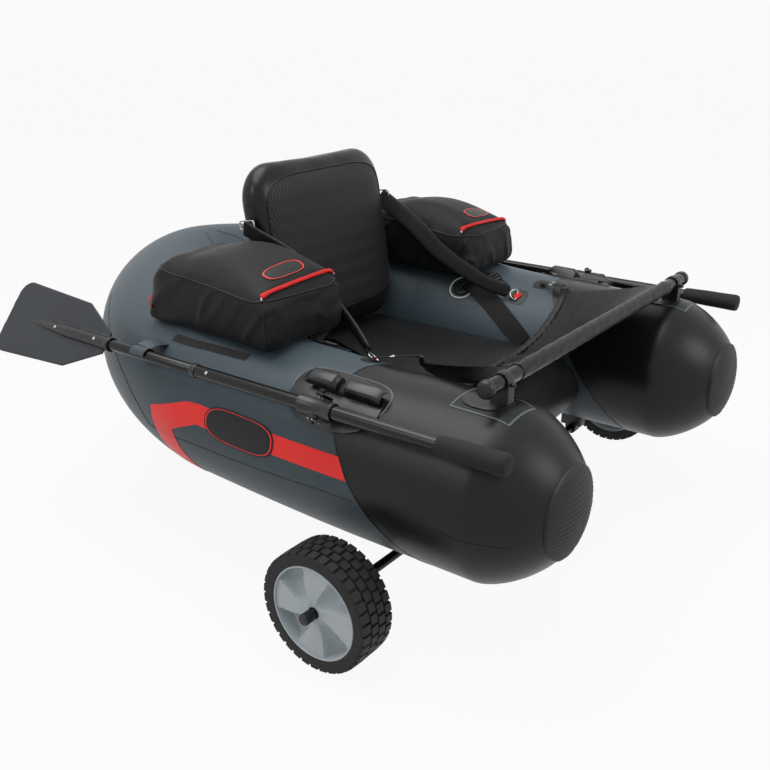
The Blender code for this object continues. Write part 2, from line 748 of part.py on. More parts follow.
def build_bags():
    half = (BAG_OUTER_X - BAG_INNER_X) / 2
    centre = (BAG_OUTER_X + BAG_INNER_X) / 2
    rings = []
    for i in range(-2, BAG_STEPS + 3):
        inside = min(BAG_STEPS, max(0, i))
        share = inside / BAG_STEPS
        beyond = max(-i, i - BAG_STEPS)
        pull = BAG_END_PULLS[beyond - 1] if beyond > 0 else 0.0
        start, end = BAG_FRONT_Y + BAG_END, BAG_BACK_Y - BAG_END
        y = start + (end - start) * share
        if i < 0:
            y = BAG_FRONT_Y + BAG_END * BAG_END_STATIONS[beyond - 1]
        if i > BAG_STEPS:
            y = BAG_BACK_Y - BAG_END * BAG_END_STATIONS[beyond - 1]
        height = BAG_FRONT_HEIGHT + (BAG_HEIGHT - BAG_FRONT_HEIGHT) * math.sin(math.pi / 2 * share)
        floor = bag_floor()
        inset = BAG_END * BAG_PULL_SHARE * pull
        middle = Vector((centre, y, floor + height / 2))
        ring = oval(middle, (1, 0, 0), (0, 0, 1), half - inset, height / 2 - inset, BAG_COUNT, BAG_SIDE_POWER)
        for point in ring:
            rise = (point.z - floor) / height
            point.y += (BAG_LEAN * (1 - share) - BAG_TAIL_LEAN * share) * rise
            if point.z > middle.z:
                reach = min(1.0, abs(point.x - centre) / half)
                point.z += BAG_CROWN * (1 - reach ** 2) * (1 - pull)
        rings.append(ring)
    keep_pair("side_bag", seated(loft(rings)), NYLON)


# Zip sliders on the bags' front top edges

ZIP_PULL_LENGTH = 0.030
ZIP_PULL_WIDTH = 0.012
ZIP_PULL_THICKNESS = 0.004
ZIP_INSET = 0.038
ZIP_START_X = BAG_OUTER_X - ZIP_INSET


def build_zip_sliders():
    top = bag_floor() + BAG_FRONT_HEIGHT
    set_back = BAG_LEAN * (BAG_FRONT_HEIGHT - BAG_END - ZIP_PULL_LENGTH) / BAG_FRONT_HEIGHT
    front = BAG_FRONT_Y + set_back - ZIP_PULL_THICKNESS / 2 - GAP
    low = (ZIP_START_X - ZIP_PULL_WIDTH / 2, front - ZIP_PULL_THICKNESS / 2, top - BAG_END - ZIP_PULL_LENGTH)
    high = (ZIP_START_X + ZIP_PULL_WIDTH / 2, front + ZIP_PULL_THICKNESS / 2, top - BAG_END)
    tab = block(low, high, ZIP_PULL_THICKNESS / 4)
    keep_pair("zip_slider", tab, RED_TAB, (ZIP_START_X, front, high[2]))


# Oarlock: a moulded base with two lobes, a swivel arm, a thole pin and its clip

OAR_REACH = 0.0505
OAR_ANGLE = math.radians(48.63)
LOCK_SET_BACK = 0.3305
LOCK_Y = TAPER_Y + LOCK_SET_BACK
SWING_TILT = math.radians(55)
SHAFT_R = 0.0140
SHAFT_WALL = 0.0014
COLLAR_R = 0.0185
COLLAR_LENGTH = 0.085
LOCK_PAD_SHIFT = 0.0095
LOCK_PAD_Y = LOCK_Y + LOCK_PAD_SHIFT
LOCK_PAD_ANGLE = math.radians(37)
LOCK_PAD_LENGTH = 0.116
LOCK_PAD_WIDTH = 0.066
LOCK_PAD_THICKNESS = 0.005
LOBE_ANGLE = math.radians(29)
LOBE_SHIFT = 0.0005
LOBE_Y = LOCK_Y - LOBE_SHIFT
LOBE_FRONT = 0.098
LOBE_REAR = 0.092
LOBE_WIDTH = 0.032
LOBE_FRONT_HEIGHT = 0.031
LOBE_REAR_HEIGHT = 0.037
LOBE_UNDERCUT = 0.0130
LOBE_HORN = 0.032
LOBE_NOTCH = 0.017
LOBE_NOTCH_DEPTH = 0.016
LOBE_ROUND = 0.0080
LOBE_RINGS = 4
LOBE_SWEEP_SHARE = 0.94
BOSS_R = 0.0165
BOSS_FOOT_R = 0.0210
SWIVEL_DISC = 0.0045
SWIVEL_ROOM = 0.0035
SPIGOT_R = 0.0060
SPIGOT_LENGTH = 0.0090
PIN_R = 0.0040
PIN_INNER = 0.0340
PIN_OUTER = 0.0330
PIN_HEAD_R = 0.0070
PIN_HEAD = 0.0040
ARM_THICKNESS = 0.0050
ARM_WIDTH = 0.0200
ARM_INNER = 0.0240
CLIP_WIRE_R = 0.0011
CLIP_LOOP = 0.0110
CLIP_DROP = 0.0260

OAR_X = TUBE_X + (TUBE_R + OAR_REACH) * math.sin(OAR_ANGLE)
OAR_Z = TUBE_Z + (TUBE_R + OAR_REACH) * math.cos(OAR_ANGLE)
OAR_POINT = Vector((OAR_X, LOCK_Y, OAR_Z))
SWING_AXIS = Vector((math.sin(SWING_TILT), 0, math.cos(SWING_TILT)))
PIN_AXIS = Vector((math.cos(SWING_TILT), 0, -math.sin(SWING_TILT)))
FORE_AFT = Vector((0, 1, 0))
LOCK_FRAME = frame(OAR_POINT, SWING_AXIS, PIN_AXIS)
PIN_FRAME = frame(OAR_POINT, PIN_AXIS, SWING_AXIS)
OAR_FRAME = frame(OAR_POINT, FORE_AFT, PIN_AXIS)


def lobe_outline():
    """Side view of the two lobes as (aft, height) points, with a horn that overhangs at each end."""
    foot = LOCK_PAD_THICKNESS / 2
    front_foot, rear_foot = -LOBE_FRONT + LOBE_HORN, LOBE_REAR - LOBE_HORN
    front_top, rear_top = LOBE_FRONT_HEIGHT, LOBE_REAR_HEIGHT
    notch = LOBE_NOTCH / 2
    chamfer = LOBE_ROUND
    return [(front_foot, foot), (front_foot, LOBE_UNDERCUT), (-LOBE_FRONT + chamfer, LOBE_UNDERCUT),
            (-LOBE_FRONT, LOBE_UNDERCUT + chamfer), (-LOBE_FRONT, front_top - chamfer),
            (-LOBE_FRONT + 2 * chamfer, front_top), (-notch - chamfer, front_top), (-notch, front_top - chamfer),
            (-notch, front_top - LOBE_NOTCH_DEPTH), (notch, front_top - LOBE_NOTCH_DEPTH),
            (notch, rear_top - chamfer), (notch + chamfer, rear_top), (LOBE_REAR - 2 * chamfer, rear_top),
            (LOBE_REAR, rear_top - 1.5 * chamfer), (LOBE_REAR - chamfer, LOBE_UNDERCUT),
            (rear_foot, LOBE_UNDERCUT), (rear_foot, foot)]


def build_oarlock_base():
    pad = skin_pad(LOCK_PAD_Y, LOCK_PAD_ANGLE, LOCK_PAD_LENGTH, LOCK_PAD_WIDTH, LOCK_PAD_THICKNESS, 2.4, 20)
    seat, normal, along, across = skin_frame(LOBE_Y, LOBE_ANGLE)
    side = LOBE_WIDTH / 2
    rings = []
    for turn in range(LOBE_RINGS + 1):
        lean = math.pi * (turn / LOBE_RINGS - 1 / 2) * LOBE_SWEEP_SHARE
        shrink = LOBE_ROUND * (1 - math.cos(lean))
        ring = []
        for aft, height in lobe_outline():
            drop = shrink if height > LOBE_UNDERCUT else 0
            ring.append(seat + along * aft + normal * (height - drop) + across * (side * math.sin(lean)))
        rings.append(ring)
    lobes = loft(rings)
    surface = hull_room(OAR_POINT)
    top = -COLLAR_R - SWIVEL_ROOM - SWIVEL_DISC - RUNNING_GAP
    foot = -surface + LOCK_PAD_THICKNESS / 2
    boss = turned([(0, top), (BOSS_R, top), (BOSS_FOOT_R, foot), (0, foot)], BAR_STEPS, LOCK_FRAME)
    hole_low = top - SPIGOT_LENGTH - RUNNING_GAP
    hole = cylinder(SPIGOT_R + RUNNING_GAP, hole_low, top + OVERRUN, 12, LOCK_FRAME)
    body = joined(pad, lobes, boss)
    keep_pair("oarlock_base", boolean(seated(body), hole), MOULDED)


def build_swivel():
    """A disc on the base's boss, with an arm on its inboard side that carries the thole pin."""
    top = -COLLAR_R - SWIVEL_ROOM
    low = top - SWIVEL_DISC
    disc = turned([(0, top), (BOSS_R, top), (BOSS_R, low), (SPIGOT_R, low),
                   (SPIGOT_R, low - SPIGOT_LENGTH), (0, low - SPIGOT_LENGTH)], BAR_STEPS, LOCK_FRAME)
    outer = -ARM_INNER
    foot = block((outer - ARM_THICKNESS, -ARM_WIDTH / 2, low + GAP), (0, ARM_WIDTH / 2, top - GAP))
    arm = block((outer - ARM_THICKNESS, -ARM_WIDTH / 2, low + GAP), (outer, ARM_WIDTH / 2, ARM_WIDTH / 2),
                ARM_THICKNESS / 4)
    hole = cylinder(PIN_R + GAP, -PIN_INNER - OVERRUN, 0, 12, PIN_FRAME)
    body = joined(disc, placed(foot, LOCK_FRAME), placed(arm, LOCK_FRAME))
    keep_pair("oarlock_swivel", boolean(body, hole), MOULDED, tuple(OAR_POINT))


def build_thole_pin():
    inner = -PIN_INNER
    profile = [(0, PIN_OUTER), (PIN_R - GAP, PIN_OUTER), (PIN_R, PIN_OUTER - GAP), (PIN_R, inner),
               (PIN_HEAD_R, inner), (PIN_HEAD_R, inner - PIN_HEAD), (0, inner - PIN_HEAD)]
    keep_pair("thole_pin", turned(profile, 12, PIN_FRAME), STEEL, tuple(OAR_POINT))


def build_retaining_clip():
    """A wire clip whose straight leg lies against the pin's outer end, with its loop hanging below."""
    out = COLLAR_R + (PIN_OUTER - COLLAR_R) / 2
    centre = OAR_POINT + PIN_AXIS * out
    reach = PIN_R + CLIP_WIRE_R + GAP
    down = -SWING_AXIS
    start = centre + FORE_AFT * reach + SWING_AXIS * CLIP_LOOP
    knots = [start]
    turns = 10
    for i in range(turns + 1):
        angle = math.pi * i / turns
        knots.append(centre + FORE_AFT * (reach * math.cos(angle)) + down * (CLIP_DROP - CLIP_LOOP)
                     + down * (CLIP_LOOP * math.sin(angle)))
    knots.append(centre - FORE_AFT * reach + SWING_AXIS * CLIP_LOOP)
    keep_pair("retaining_clip", wire(knots, CLIP_WIRE_R), STEEL)


# Oars, stowed along the pontoons

KEEPER_SET_BACK = 0.122
KEEPER_Y = BEND_Y + KEEPER_SET_BACK
OAR_OVERHANG = 0.089
OAR_FRONT_Y = TAPER_Y - OAR_OVERHANG
GRIP_CAP = 0.009
GRIP_FRONT_Y = OAR_FRONT_Y - GRIP_CAP
GRIP_LENGTH = 0.145
GRIP_BACK_Y = GRIP_FRONT_Y + GRIP_LENGTH
GRIP_R = 0.0215
GRIP_NECK_R = 0.0175
GRIP_WALL_FRONT = 0.006
UPPER_SHAFT_LENGTH = 0.7685
JOINT_Y = OAR_FRONT_Y + UPPER_SHAFT_LENGTH
BUTTON_FROM_JOINT = 0.0515
BUTTON_Y = JOINT_Y - BUTTON_FROM_JOINT
INNER_SHAFT_R = 0.0122
INNER_SHAFT_WALL = 0.0014
TELESCOPE_OVERLAP = 0.0785
INNER_FRONT_Y = JOINT_Y - TELESCOPE_OVERLAP
SOCKET_SET_BACK = 0.104
SOCKET_Y = KEEPER_Y + SOCKET_SET_BACK
SOCKET_LENGTH = 0.335
SOCKET_END_Y = SOCKET_Y + SOCKET_LENGTH
SOCKET_R = 0.0165
SHAFT_STEPS = 12
BUTTON_R = 0.0040
BUTTON_PROUD = 0.0035
BUTTON_TRAVEL = 0.0030
BLADE_SET_BACK = 0.018
BLADE_FRONT_Y = SOCKET_Y + BLADE_SET_BACK
BLADE_LENGTH = 0.387
BLADE_BACK_Y = BLADE_FRONT_Y + BLADE_LENGTH
BLADE_LEAN = math.radians(38.6)
BLADE_THICKNESS = 0.0060
BLADE_HALF_WIDTH = 0.0960
BLADE_NECK_HALF = 0.0270
BLADE_SHOULDER = 0.112
BLADE_SHOULDER_HALF = 0.0830
BLADE_CORNER = 0.034
BLADE_EASE = 0.006
BLADE_EDGE_SHARE = 0.35
BLADE_FLAT_SHARE = 0.94
SOCKET_TAPER_SHARE = 0.90
SOCKET_TIP_SHARE = 0.60
SOCKET_LIP = 0.010
SHAFT_END_ROOM = 0.001

BLADE_UP = Vector((-math.sin(BLADE_LEAN), 0, math.cos(BLADE_LEAN)))
BLADE_OUT = Vector((math.cos(BLADE_LEAN), 0, math.sin(BLADE_LEAN)))


def along_oar(y):
    return y - LOCK_Y


def build_oar_shafts():
    outer = pipe(SHAFT_R, SHAFT_R - SHAFT_WALL, along_oar(OAR_FRONT_Y), along_oar(JOINT_Y), SHAFT_STEPS, OAR_FRAME)
    pin_hole = cylinder(PIN_R + RUNNING_GAP, -PIN_INNER, PIN_OUTER + OVERRUN, 12, PIN_FRAME)
    outer = boolean(outer, pin_hole)
    button_frame = frame((OAR_X, BUTTON_Y, OAR_Z), SWING_AXIS, FORE_AFT)
    button_hole = cylinder(BUTTON_R + RUNNING_GAP, 0, SHAFT_R + OVERRUN, 12, button_frame)
    keep_pair("oar_shaft", boolean(outer, button_hole), TUBE_ALLOY, tuple(OAR_POINT))

    inner = pipe(INNER_SHAFT_R, INNER_SHAFT_R - INNER_SHAFT_WALL, along_oar(INNER_FRONT_Y),
                 along_oar(SOCKET_Y + SOCKET_LIP * 4), SHAFT_STEPS, OAR_FRAME)
    button_hole = cylinder(BUTTON_R + RUNNING_GAP, 0, SHAFT_R + OVERRUN, 12, button_frame)
    keep_pair("blade_shaft", boolean(inner, button_hole), TUBE_ALLOY, tuple(OAR_POINT))

    bottom = INNER_SHAFT_R - INNER_SHAFT_WALL - BUTTON_R
    profile = [(0, SHAFT_R + BUTTON_PROUD), (BUTTON_R * 0.7, SHAFT_R + BUTTON_PROUD),
               (BUTTON_R, SHAFT_R + BUTTON_PROUD - BUTTON_R * 0.3), (BUTTON_R, bottom), (0, bottom)]
    keep_pair("oar_button", turned(profile, 12, button_frame), STEEL, (OAR_X, BUTTON_Y, OAR_Z))

    collar_half = COLLAR_LENGTH / 2
    collar = pipe(COLLAR_R, SHAFT_R + GAP, -collar_half, collar_half, SHAFT_STEPS, OAR_FRAME)
    pin_hole = cylinder(PIN_R + RUNNING_GAP, -PIN_INNER, PIN_OUTER + OVERRUN, 12, PIN_FRAME)
    keep_pair("oar_collar", boolean(collar, pin_hole), MOULDED, tuple(OAR_POINT))

    front, back = along_oar(GRIP_FRONT_Y), along_oar(GRIP_BACK_Y)
    bore = SHAFT_R + GAP
    stop = along_oar(OAR_FRONT_Y) - GAP
    profile = [(0, front), (GRIP_R - PLUG_ROUND, front), (GRIP_R, front + PLUG_ROUND),
               (GRIP_R, back - OVERRUN), (GRIP_NECK_R, back), (bore, back), (bore, stop), (0, stop)]
    keep_pair("oar_grip", turned(profile, SHAFT_STEPS, OAR_FRAME), FOAM, tuple(OAR_POINT))


def blade_half(y):
    """Half width of the blade: a narrow neck, straight shoulders, a flaring belly and a rounded end."""
    shoulder = BLADE_FRONT_Y + BLADE_SHOULDER
    corner = BLADE_BACK_Y - BLADE_CORNER
    if y < shoulder:
        return BLADE_NECK_HALF + (BLADE_SHOULDER_HALF - BLADE_NECK_HALF) * (y - BLADE_FRONT_Y) / BLADE_SHOULDER
    wide = BLADE_SHOULDER_HALF + (BLADE_HALF_WIDTH - BLADE_SHOULDER_HALF) * (y - shoulder) / (corner - shoulder)
    if y > corner:
        wide = BLADE_HALF_WIDTH - BLADE_CORNER * (1 - math.sqrt(max(0.0, 1 - ((y - corner) / BLADE_CORNER) ** 2)))
    return wide


def build_blade():
    """A flat blade with a raised socket ridge that tapers to a point along its middle."""
    shoulder, corner = BLADE_FRONT_Y + BLADE_SHOULDER, BLADE_BACK_Y - BLADE_CORNER
    stations = [BLADE_FRONT_Y, shoulder - BLADE_EASE, shoulder + BLADE_EASE, (shoulder + corner) / 2]
    stations += [corner + BLADE_CORNER * math.sin(math.pi / 2 * i / 4) for i in range(5)]
    rings = []
    for y in stations:
        centre = Vector((OAR_X, y, OAR_Z))
        half = blade_half(y)
        edge = BLADE_THICKNESS * BLADE_EDGE_SHARE
        ring = []
        flat = BLADE_FLAT_SHARE
        for up_share, out_share in ((1, 0), (flat, 1), (0, 1), (-flat, 1), (-1, 0), (-flat, -1), (0, -1), (flat, -1)):
            thick = BLADE_THICKNESS / 2 if up_share == 0 else edge
            ring.append(centre + BLADE_UP * (half * up_share) + BLADE_OUT * (thick * out_share))
        rings.append(ring)
    plate = loft(rings)
    back = along_oar(SOCKET_END_Y)
    front = along_oar(SOCKET_Y)
    shoulder = along_oar(BLADE_FRONT_Y) + SOCKET_LIP * 8
    profile = [(0, front), (SOCKET_R + GAP * 4, front), (SOCKET_R + GAP * 4, front + SOCKET_LIP),
               (SOCKET_R, front + SOCKET_LIP), (SOCKET_R * SOCKET_TAPER_SHARE, shoulder),
               (BLADE_THICKNESS * SOCKET_TIP_SHARE, back), (0, back)]
    socket = turned(profile, SHAFT_STEPS, OAR_FRAME)
    body = joined(plate, socket)
    bore_end = along_oar(SOCKET_Y + SOCKET_LIP * 4) + SHAFT_END_ROOM
    bore = cylinder(INNER_SHAFT_R + GAP, front - OVERRUN, bore_end, SHAFT_STEPS, OAR_FRAME)
    keep_pair("oar_blade", boolean(body, bore), BLADE_PLASTIC, tuple(OAR_POINT))


# Keepers that hold the stowed oars

KEEPER_WIDTH = 0.050
KEEPER_THICKNESS = 0.0025
KEEPER_ROOM = 0.0022
KEEPER_OPENING = math.radians(64)
KEEPER_WEB_SHARE = 0.90
KEEPER_STEPS = 12


def build_keepers():
    """A webbing cradle on the stern skin that hugs the oar and stays open outboard."""
    centre = Vector((OAR_X, KEEPER_Y, OAR_Z))
    share_low, share_high = 0.0, 1.0
    for _ in range(24):
        share = (share_low + share_high) / 2
        if bend_point(share).y < KEEPER_Y:
            share_low = share
        else:
            share_high = share
    axis = bend_point(share_low)
    toward = (axis - centre)
    toward.y = 0
    reach = toward.length
    toward.normalize()
    ring_r = INNER_SHAFT_R + KEEPER_ROOM + KEEPER_THICKNESS / 2
    open_angle = math.atan2(PIN_AXIS.z, PIN_AXIS.x)
    points, normals = [], []
    for i in range(KEEPER_STEPS + 1):
        angle = open_angle + KEEPER_OPENING + (math.tau - 2 * KEEPER_OPENING) * i / KEEPER_STEPS
        radial = Vector((math.cos(angle), 0, math.sin(angle)))
        points.append(centre + radial * ring_r)
        normals.append(radial)
    cradle = ribbon(points, normals, KEEPER_WIDTH, KEEPER_THICKNESS, 4, 20)
    low = centre + toward * (ring_r - KEEPER_THICKNESS / 2 + GAP)
    high = centre + toward * reach
    web = ribbon([low, high], FORE_AFT.cross(toward), KEEPER_WIDTH * KEEPER_WEB_SHARE, KEEPER_THICKNESS * 2, 4, 20)
    keep_pair("oar_keeper", joined(cradle, seated(web)), GREY_SKIN)


# Backrest straps, their hull rings and the seat webs

RING_REACH = 0.324
RING_Y = BACKREST_HINGE_Y - RING_REACH
RING_ANGLE = math.radians(-35.5)
RING_WIRE_R = 0.0019
RING_HALF = 0.0160
RING_HEIGHT = 0.0200
TAB_LENGTH = 0.020
TAB_WIDTH = 0.013
TAB_THICKNESS = 0.0022
STRAP_WIDTH = 0.046
STRAP_THICKNESS = 0.013
STRAP_TOP_HEIGHT = 0.318
STRAP_REST = 0.0106
STRAP_BEND_REACH = 0.041
STRAP_BEND_RISE = 0.138
STRAP_MIDDLE_REACH = 0.123
STRAP_MIDDLE_RISE = 0.079
STRAP_LOW_REACH = 0.236
STRAP_LOW_RISE = 0.012
STRAP_LOW_OUT = 0.027
STRAP_FACE = (-0.94, -0.10, 0.33)
WEB_WIDTH = 0.052
WEB_THICKNESS = 0.0080
WEB_LIFT = -0.0016
WEB_REACH = 0.199
WEB_START_Y = BACKREST_HINGE_Y - WEB_REACH
WEB_START_ANGLE = math.radians(-39.5)
WEB_RUN = 0.163
WEB_END_Y = WEB_START_Y - WEB_RUN
WEB_END_ANGLE = math.radians(-68.5)
WEB_STEPS = 8


def build_straps():
    top = backrest_place() @ Vector((BACKREST_HALF_WIDTH + STRAP_REST, BACKREST_THICKNESS / 2, STRAP_TOP_HEIGHT))
    bend = Vector((COCKPIT_HALF, BACKREST_HINGE_Y - STRAP_BEND_REACH, CREST_Z + STRAP_BEND_RISE))
    middle = Vector((COCKPIT_HALF, BACKREST_HINGE_Y - STRAP_MIDDLE_REACH, CREST_Z + STRAP_MIDDLE_RISE))
    low = Vector((COCKPIT_HALF + STRAP_LOW_OUT, BACKREST_HINGE_Y - STRAP_LOW_REACH, CREST_Z + STRAP_LOW_RISE))
    base, normal, _, _ = skin_frame(RING_Y, RING_ANGLE)
    pull = (low - base).normalized()
    foot = base + normal * (RING_WIRE_R + 2 * GAP + TAB_THICKNESS / 2)
    side = pull.cross(normal).normalized()
    loop = [foot + side * RING_HALF, foot - side * RING_HALF]
    arc = 8
    for i in range(1, arc):
        angle = math.pi * i / arc
        loop.append(foot - side * (RING_HALF * math.cos(angle)) + pull * (RING_HEIGHT * math.sin(angle)))
    ring = wire(loop, RING_WIRE_R, closed=True)
    patch = skin_pad(RING_Y - TAB_LENGTH / 4, RING_ANGLE, TAB_LENGTH, TAB_WIDTH, TAB_THICKNESS, 4, 12)
    keep_pair("strap_ring", joined(seated(patch), ring), STEEL)

    end = foot + pull * (RING_HEIGHT + STRAP_THICKNESS * 0.5)
    route = smooth_route([top, bend, middle, low, end], 3)
    padded = ribbon(route, STRAP_FACE, STRAP_WIDTH, STRAP_THICKNESS, 10, 2.6)
    keep_pair("backrest_strap", padded, WEBBING)

    web = []
    normals = []
    for i in range(WEB_STEPS + 1):
        share = i / WEB_STEPS
        y = WEB_START_Y + (WEB_END_Y - WEB_START_Y) * share
        angle = WEB_START_ANGLE + (WEB_END_ANGLE - WEB_START_ANGLE) * share
        point, out, _, _ = skin_frame(y, angle)
        web.append(point + out * WEB_LIFT)
        normals.append(out)
    keep_pair("seat_web", seated(ribbon(web, normals, WEB_WIDTH, WEB_THICKNESS, 8, 5)), WEBBING)


# Air valves on the inner skin

VALVE_FROM_WEB = 0.0475
VALVE_Y = WEB_START_Y + VALVE_FROM_WEB
VALVE_ANGLE = math.radians(-41)
VALVE_R = 0.0375
VALVE_HEIGHT = 0.0075
VALVE_FLOOR = 0.0030
VALVE_WELL_R = 0.0260
VALVE_BEVEL = 0.0020
VALVE_CAP_R = 0.0250
VALVE_CAP_HEIGHT = 0.0085
VALVE_CAP_EDGE = 0.0015
VALVE_BAR_LENGTH = 0.036
VALVE_BAR_WIDTH = 0.008
VALVE_BAR_HEIGHT = 0.0045
VALVE_STEPS = 20


def build_valves():
    base, normal, along, _ = skin_frame(VALVE_Y, VALVE_ANGLE)
    place = frame(base, normal, along)
    profile = [(0, VALVE_FLOOR), (VALVE_WELL_R, VALVE_FLOOR), (VALVE_WELL_R, VALVE_HEIGHT),
               (VALVE_R - VALVE_BEVEL, VALVE_HEIGHT), (VALVE_R, VALVE_HEIGHT - VALVE_BEVEL),
               (VALVE_R, -SINK * 2), (0, -SINK * 2)]
    keep_pair("valve", seated(turned(profile, VALVE_STEPS, place)), VALVE_WHITE, tuple(base))
    top = VALVE_CAP_HEIGHT
    profile = [(0, top), (VALVE_CAP_R - VALVE_CAP_EDGE, top), (VALVE_CAP_R, top - VALVE_CAP_EDGE),
               (VALVE_CAP_R, VALVE_FLOOR + GAP), (0, VALVE_FLOOR + GAP)]
    cap = turned(profile, VALVE_STEPS, place)
    half_length, half_width = VALVE_BAR_LENGTH / 2, VALVE_BAR_WIDTH / 2
    bar = block((-half_length, -half_width, VALVE_FLOOR + 2 * GAP), (half_length, half_width, top + VALVE_BAR_HEIGHT),
                VALVE_CAP_EDGE)
    keep_pair("valve_cap", joined(cap, placed(bar, place)), BLACK_SKIN, tuple(base))


# Trolley axle, its hull mounts and the wheels

AXLE_SET_BACK = 0.25
AXLE_Y = TAPER_Y + AXLE_SET_BACK
AXLE_R = 0.010
WHEEL_R = 0.130
WHEEL_WIDTH = 0.078
WHEEL_OUTSTAND = 0.117
WHEEL_OUTER_X = TUBE_X + TUBE_R + WHEEL_OUTSTAND
AXLE_CAP_R = 0.0125
AXLE_CAP_LENGTH = 0.027
AXLE_CAP_SOCKET = 0.004
MOUNT_INSET = 0.034
MOUNT_X = TUBE_X - MOUNT_INSET
MOUNT_WIDTH = 0.030
MOUNT_R = 0.016
MOUNT_FOOT = 0.030
RIM_R = 0.103
RIM_FACE = 0.006
HUB_R = 0.026
HUB_PROUD = 0.003
PANEL_INNER_R = 0.032
PANEL_OUTER_R = 0.088
PANEL_RISE = 0.005
PANEL_BEVEL = 0.003
PANEL_COUNT = 4
WHEEL_STEPS = 24
TYRE_SHOULDER = 0.012
TREAD_DEPTH = 0.004
TREAD_GROOVE = 0.0045
TREAD_ROWS = 3


def build_axle():
    middle = frame((0, AXLE_Y, WHEEL_R), X_AXIS, (0, 1, 0))
    half = WHEEL_OUTER_X + AXLE_CAP_SOCKET + GAP
    keep("axle", cylinder(AXLE_R, -half, half, BAR_STEPS, middle), TUBE_ALLOY)
    low = WHEEL_OUTER_X + HUB_PROUD + RUNNING_GAP
    high = WHEEL_OUTER_X + AXLE_CAP_LENGTH
    socket = AXLE_R + GAP
    floor = half + GAP
    profile = [(0, high), (AXLE_CAP_R - PLUG_ROUND / 2, high), (AXLE_CAP_R, high - PLUG_ROUND / 2),
               (AXLE_CAP_R, low), (socket, low), (socket, floor), (0, floor)]
    keep_pair("axle_cap", turned(profile, BAR_STEPS, middle), MOULDED)
    low, high = MOUNT_X - MOUNT_WIDTH / 2, MOUNT_X + MOUNT_WIDTH / 2
    ring = cylinder(MOUNT_R, low, high, BAR_STEPS, middle)
    hull_bottom = TUBE_Z - TUBE_R + OVERRUN / 2
    web = block((low, AXLE_Y - MOUNT_FOOT, WHEEL_R + AXLE_R), (high, AXLE_Y + MOUNT_FOOT, hull_bottom))
    neck = block((low, AXLE_Y - MOUNT_R, WHEEL_R), (high, AXLE_Y + MOUNT_R, WHEEL_R + AXLE_R * 2))
    bore = cylinder(AXLE_R + GAP, low - OVERRUN, high + OVERRUN, BAR_STEPS, middle)
    body = boolean(seated(joined(ring, neck, web)), bore)
    keep_pair("axle_mount", body, MOULDED)


def tyre_profile(outer, inner):
    """Half a turn of the tyre's skin: bead, sidewall, shoulder and grooved tread."""
    bead = RIM_R + RUNNING_GAP
    points = [(bead, outer), (WHEEL_R - TYRE_SHOULDER, outer), (WHEEL_R, outer - TYRE_SHOULDER)]
    start, end = outer - TYRE_SHOULDER, inner + TYRE_SHOULDER
    land = ((start - end) - (TREAD_ROWS - 1) * TREAD_GROOVE) / TREAD_ROWS
    at = start
    for _ in range(TREAD_ROWS - 1):
        at -= land
        points += [(WHEEL_R, at), (WHEEL_R - TREAD_DEPTH, at - TREAD_GROOVE / 2), (WHEEL_R, at - TREAD_GROOVE)]
        at -= TREAD_GROOVE
    points += [(WHEEL_R, end), (WHEEL_R - TYRE_SHOULDER, inner), (bead, inner)]
    return points


def build_wheels():
    middle = frame((0, AXLE_Y, WHEEL_R), X_AXIS, (0, 1, 0))
    outer = WHEEL_OUTER_X
    inner = WHEEL_OUTER_X - WHEEL_WIDTH
    centre = ((outer + inner) / 2, AXLE_Y, WHEEL_R)
    tyre = turned(tyre_profile(outer, inner), WHEEL_STEPS, middle, closed=True)
    keep_pair("tyre", tyre, TYRE_RUBBER, centre)

    face = outer - RIM_FACE
    back = inner + RIM_FACE
    bore = AXLE_R + RUNNING_GAP
    profile = [(bore, outer + HUB_PROUD), (HUB_R, outer + HUB_PROUD), (HUB_R, face), (PANEL_INNER_R, face),
               (PANEL_OUTER_R, face), (PANEL_OUTER_R + PANEL_RISE, outer), (RIM_R, outer), (RIM_R, inner),
               (PANEL_OUTER_R, inner), (PANEL_OUTER_R, back), (HUB_R, back), (HUB_R, inner), (bore, inner)]
    rim = turned(profile, WHEEL_STEPS, Matrix.Identity(4), closed=True)
    bm = bmesh.new()
    bm.from_mesh(rim)
    width = math.pi / PANEL_COUNT
    wedges = [[] for _ in range(PANEL_COUNT)]
    for item in bm.faces:
        spot = item.calc_center_median()
        turn = math.atan2(spot.y, spot.x) % math.tau
        on_face = abs(spot.z - face) < WELD and PANEL_INNER_R < math.hypot(spot.x, spot.y) < PANEL_OUTER_R
        if on_face and turn % (2 * width) < width:
            wedges[int(turn / (2 * width))].append(item)
    for wedge in wedges:
        bmesh.ops.inset_region(bm, faces=wedge, thickness=PANEL_BEVEL, depth=PANEL_RISE, use_even_offset=True)
    keep_pair("rim", placed(mesh_from(bm), middle), RIM_PLASTIC, centre)


build_hull()
build_nose_caps()
build_seat()
build_backrest()
build_crossbar()
build_apron()
build_bags()
build_zip_sliders()
build_oarlock_base()
build_swivel()
build_thole_pin()
build_retaining_clip()
build_oar_shafts()
build_blade()
build_keepers()
build_straps()
build_valves()
build_axle()
build_wheels()
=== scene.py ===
"""An inflatable U-shaped float tube on a two-wheel trolley axle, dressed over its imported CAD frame."""

import math

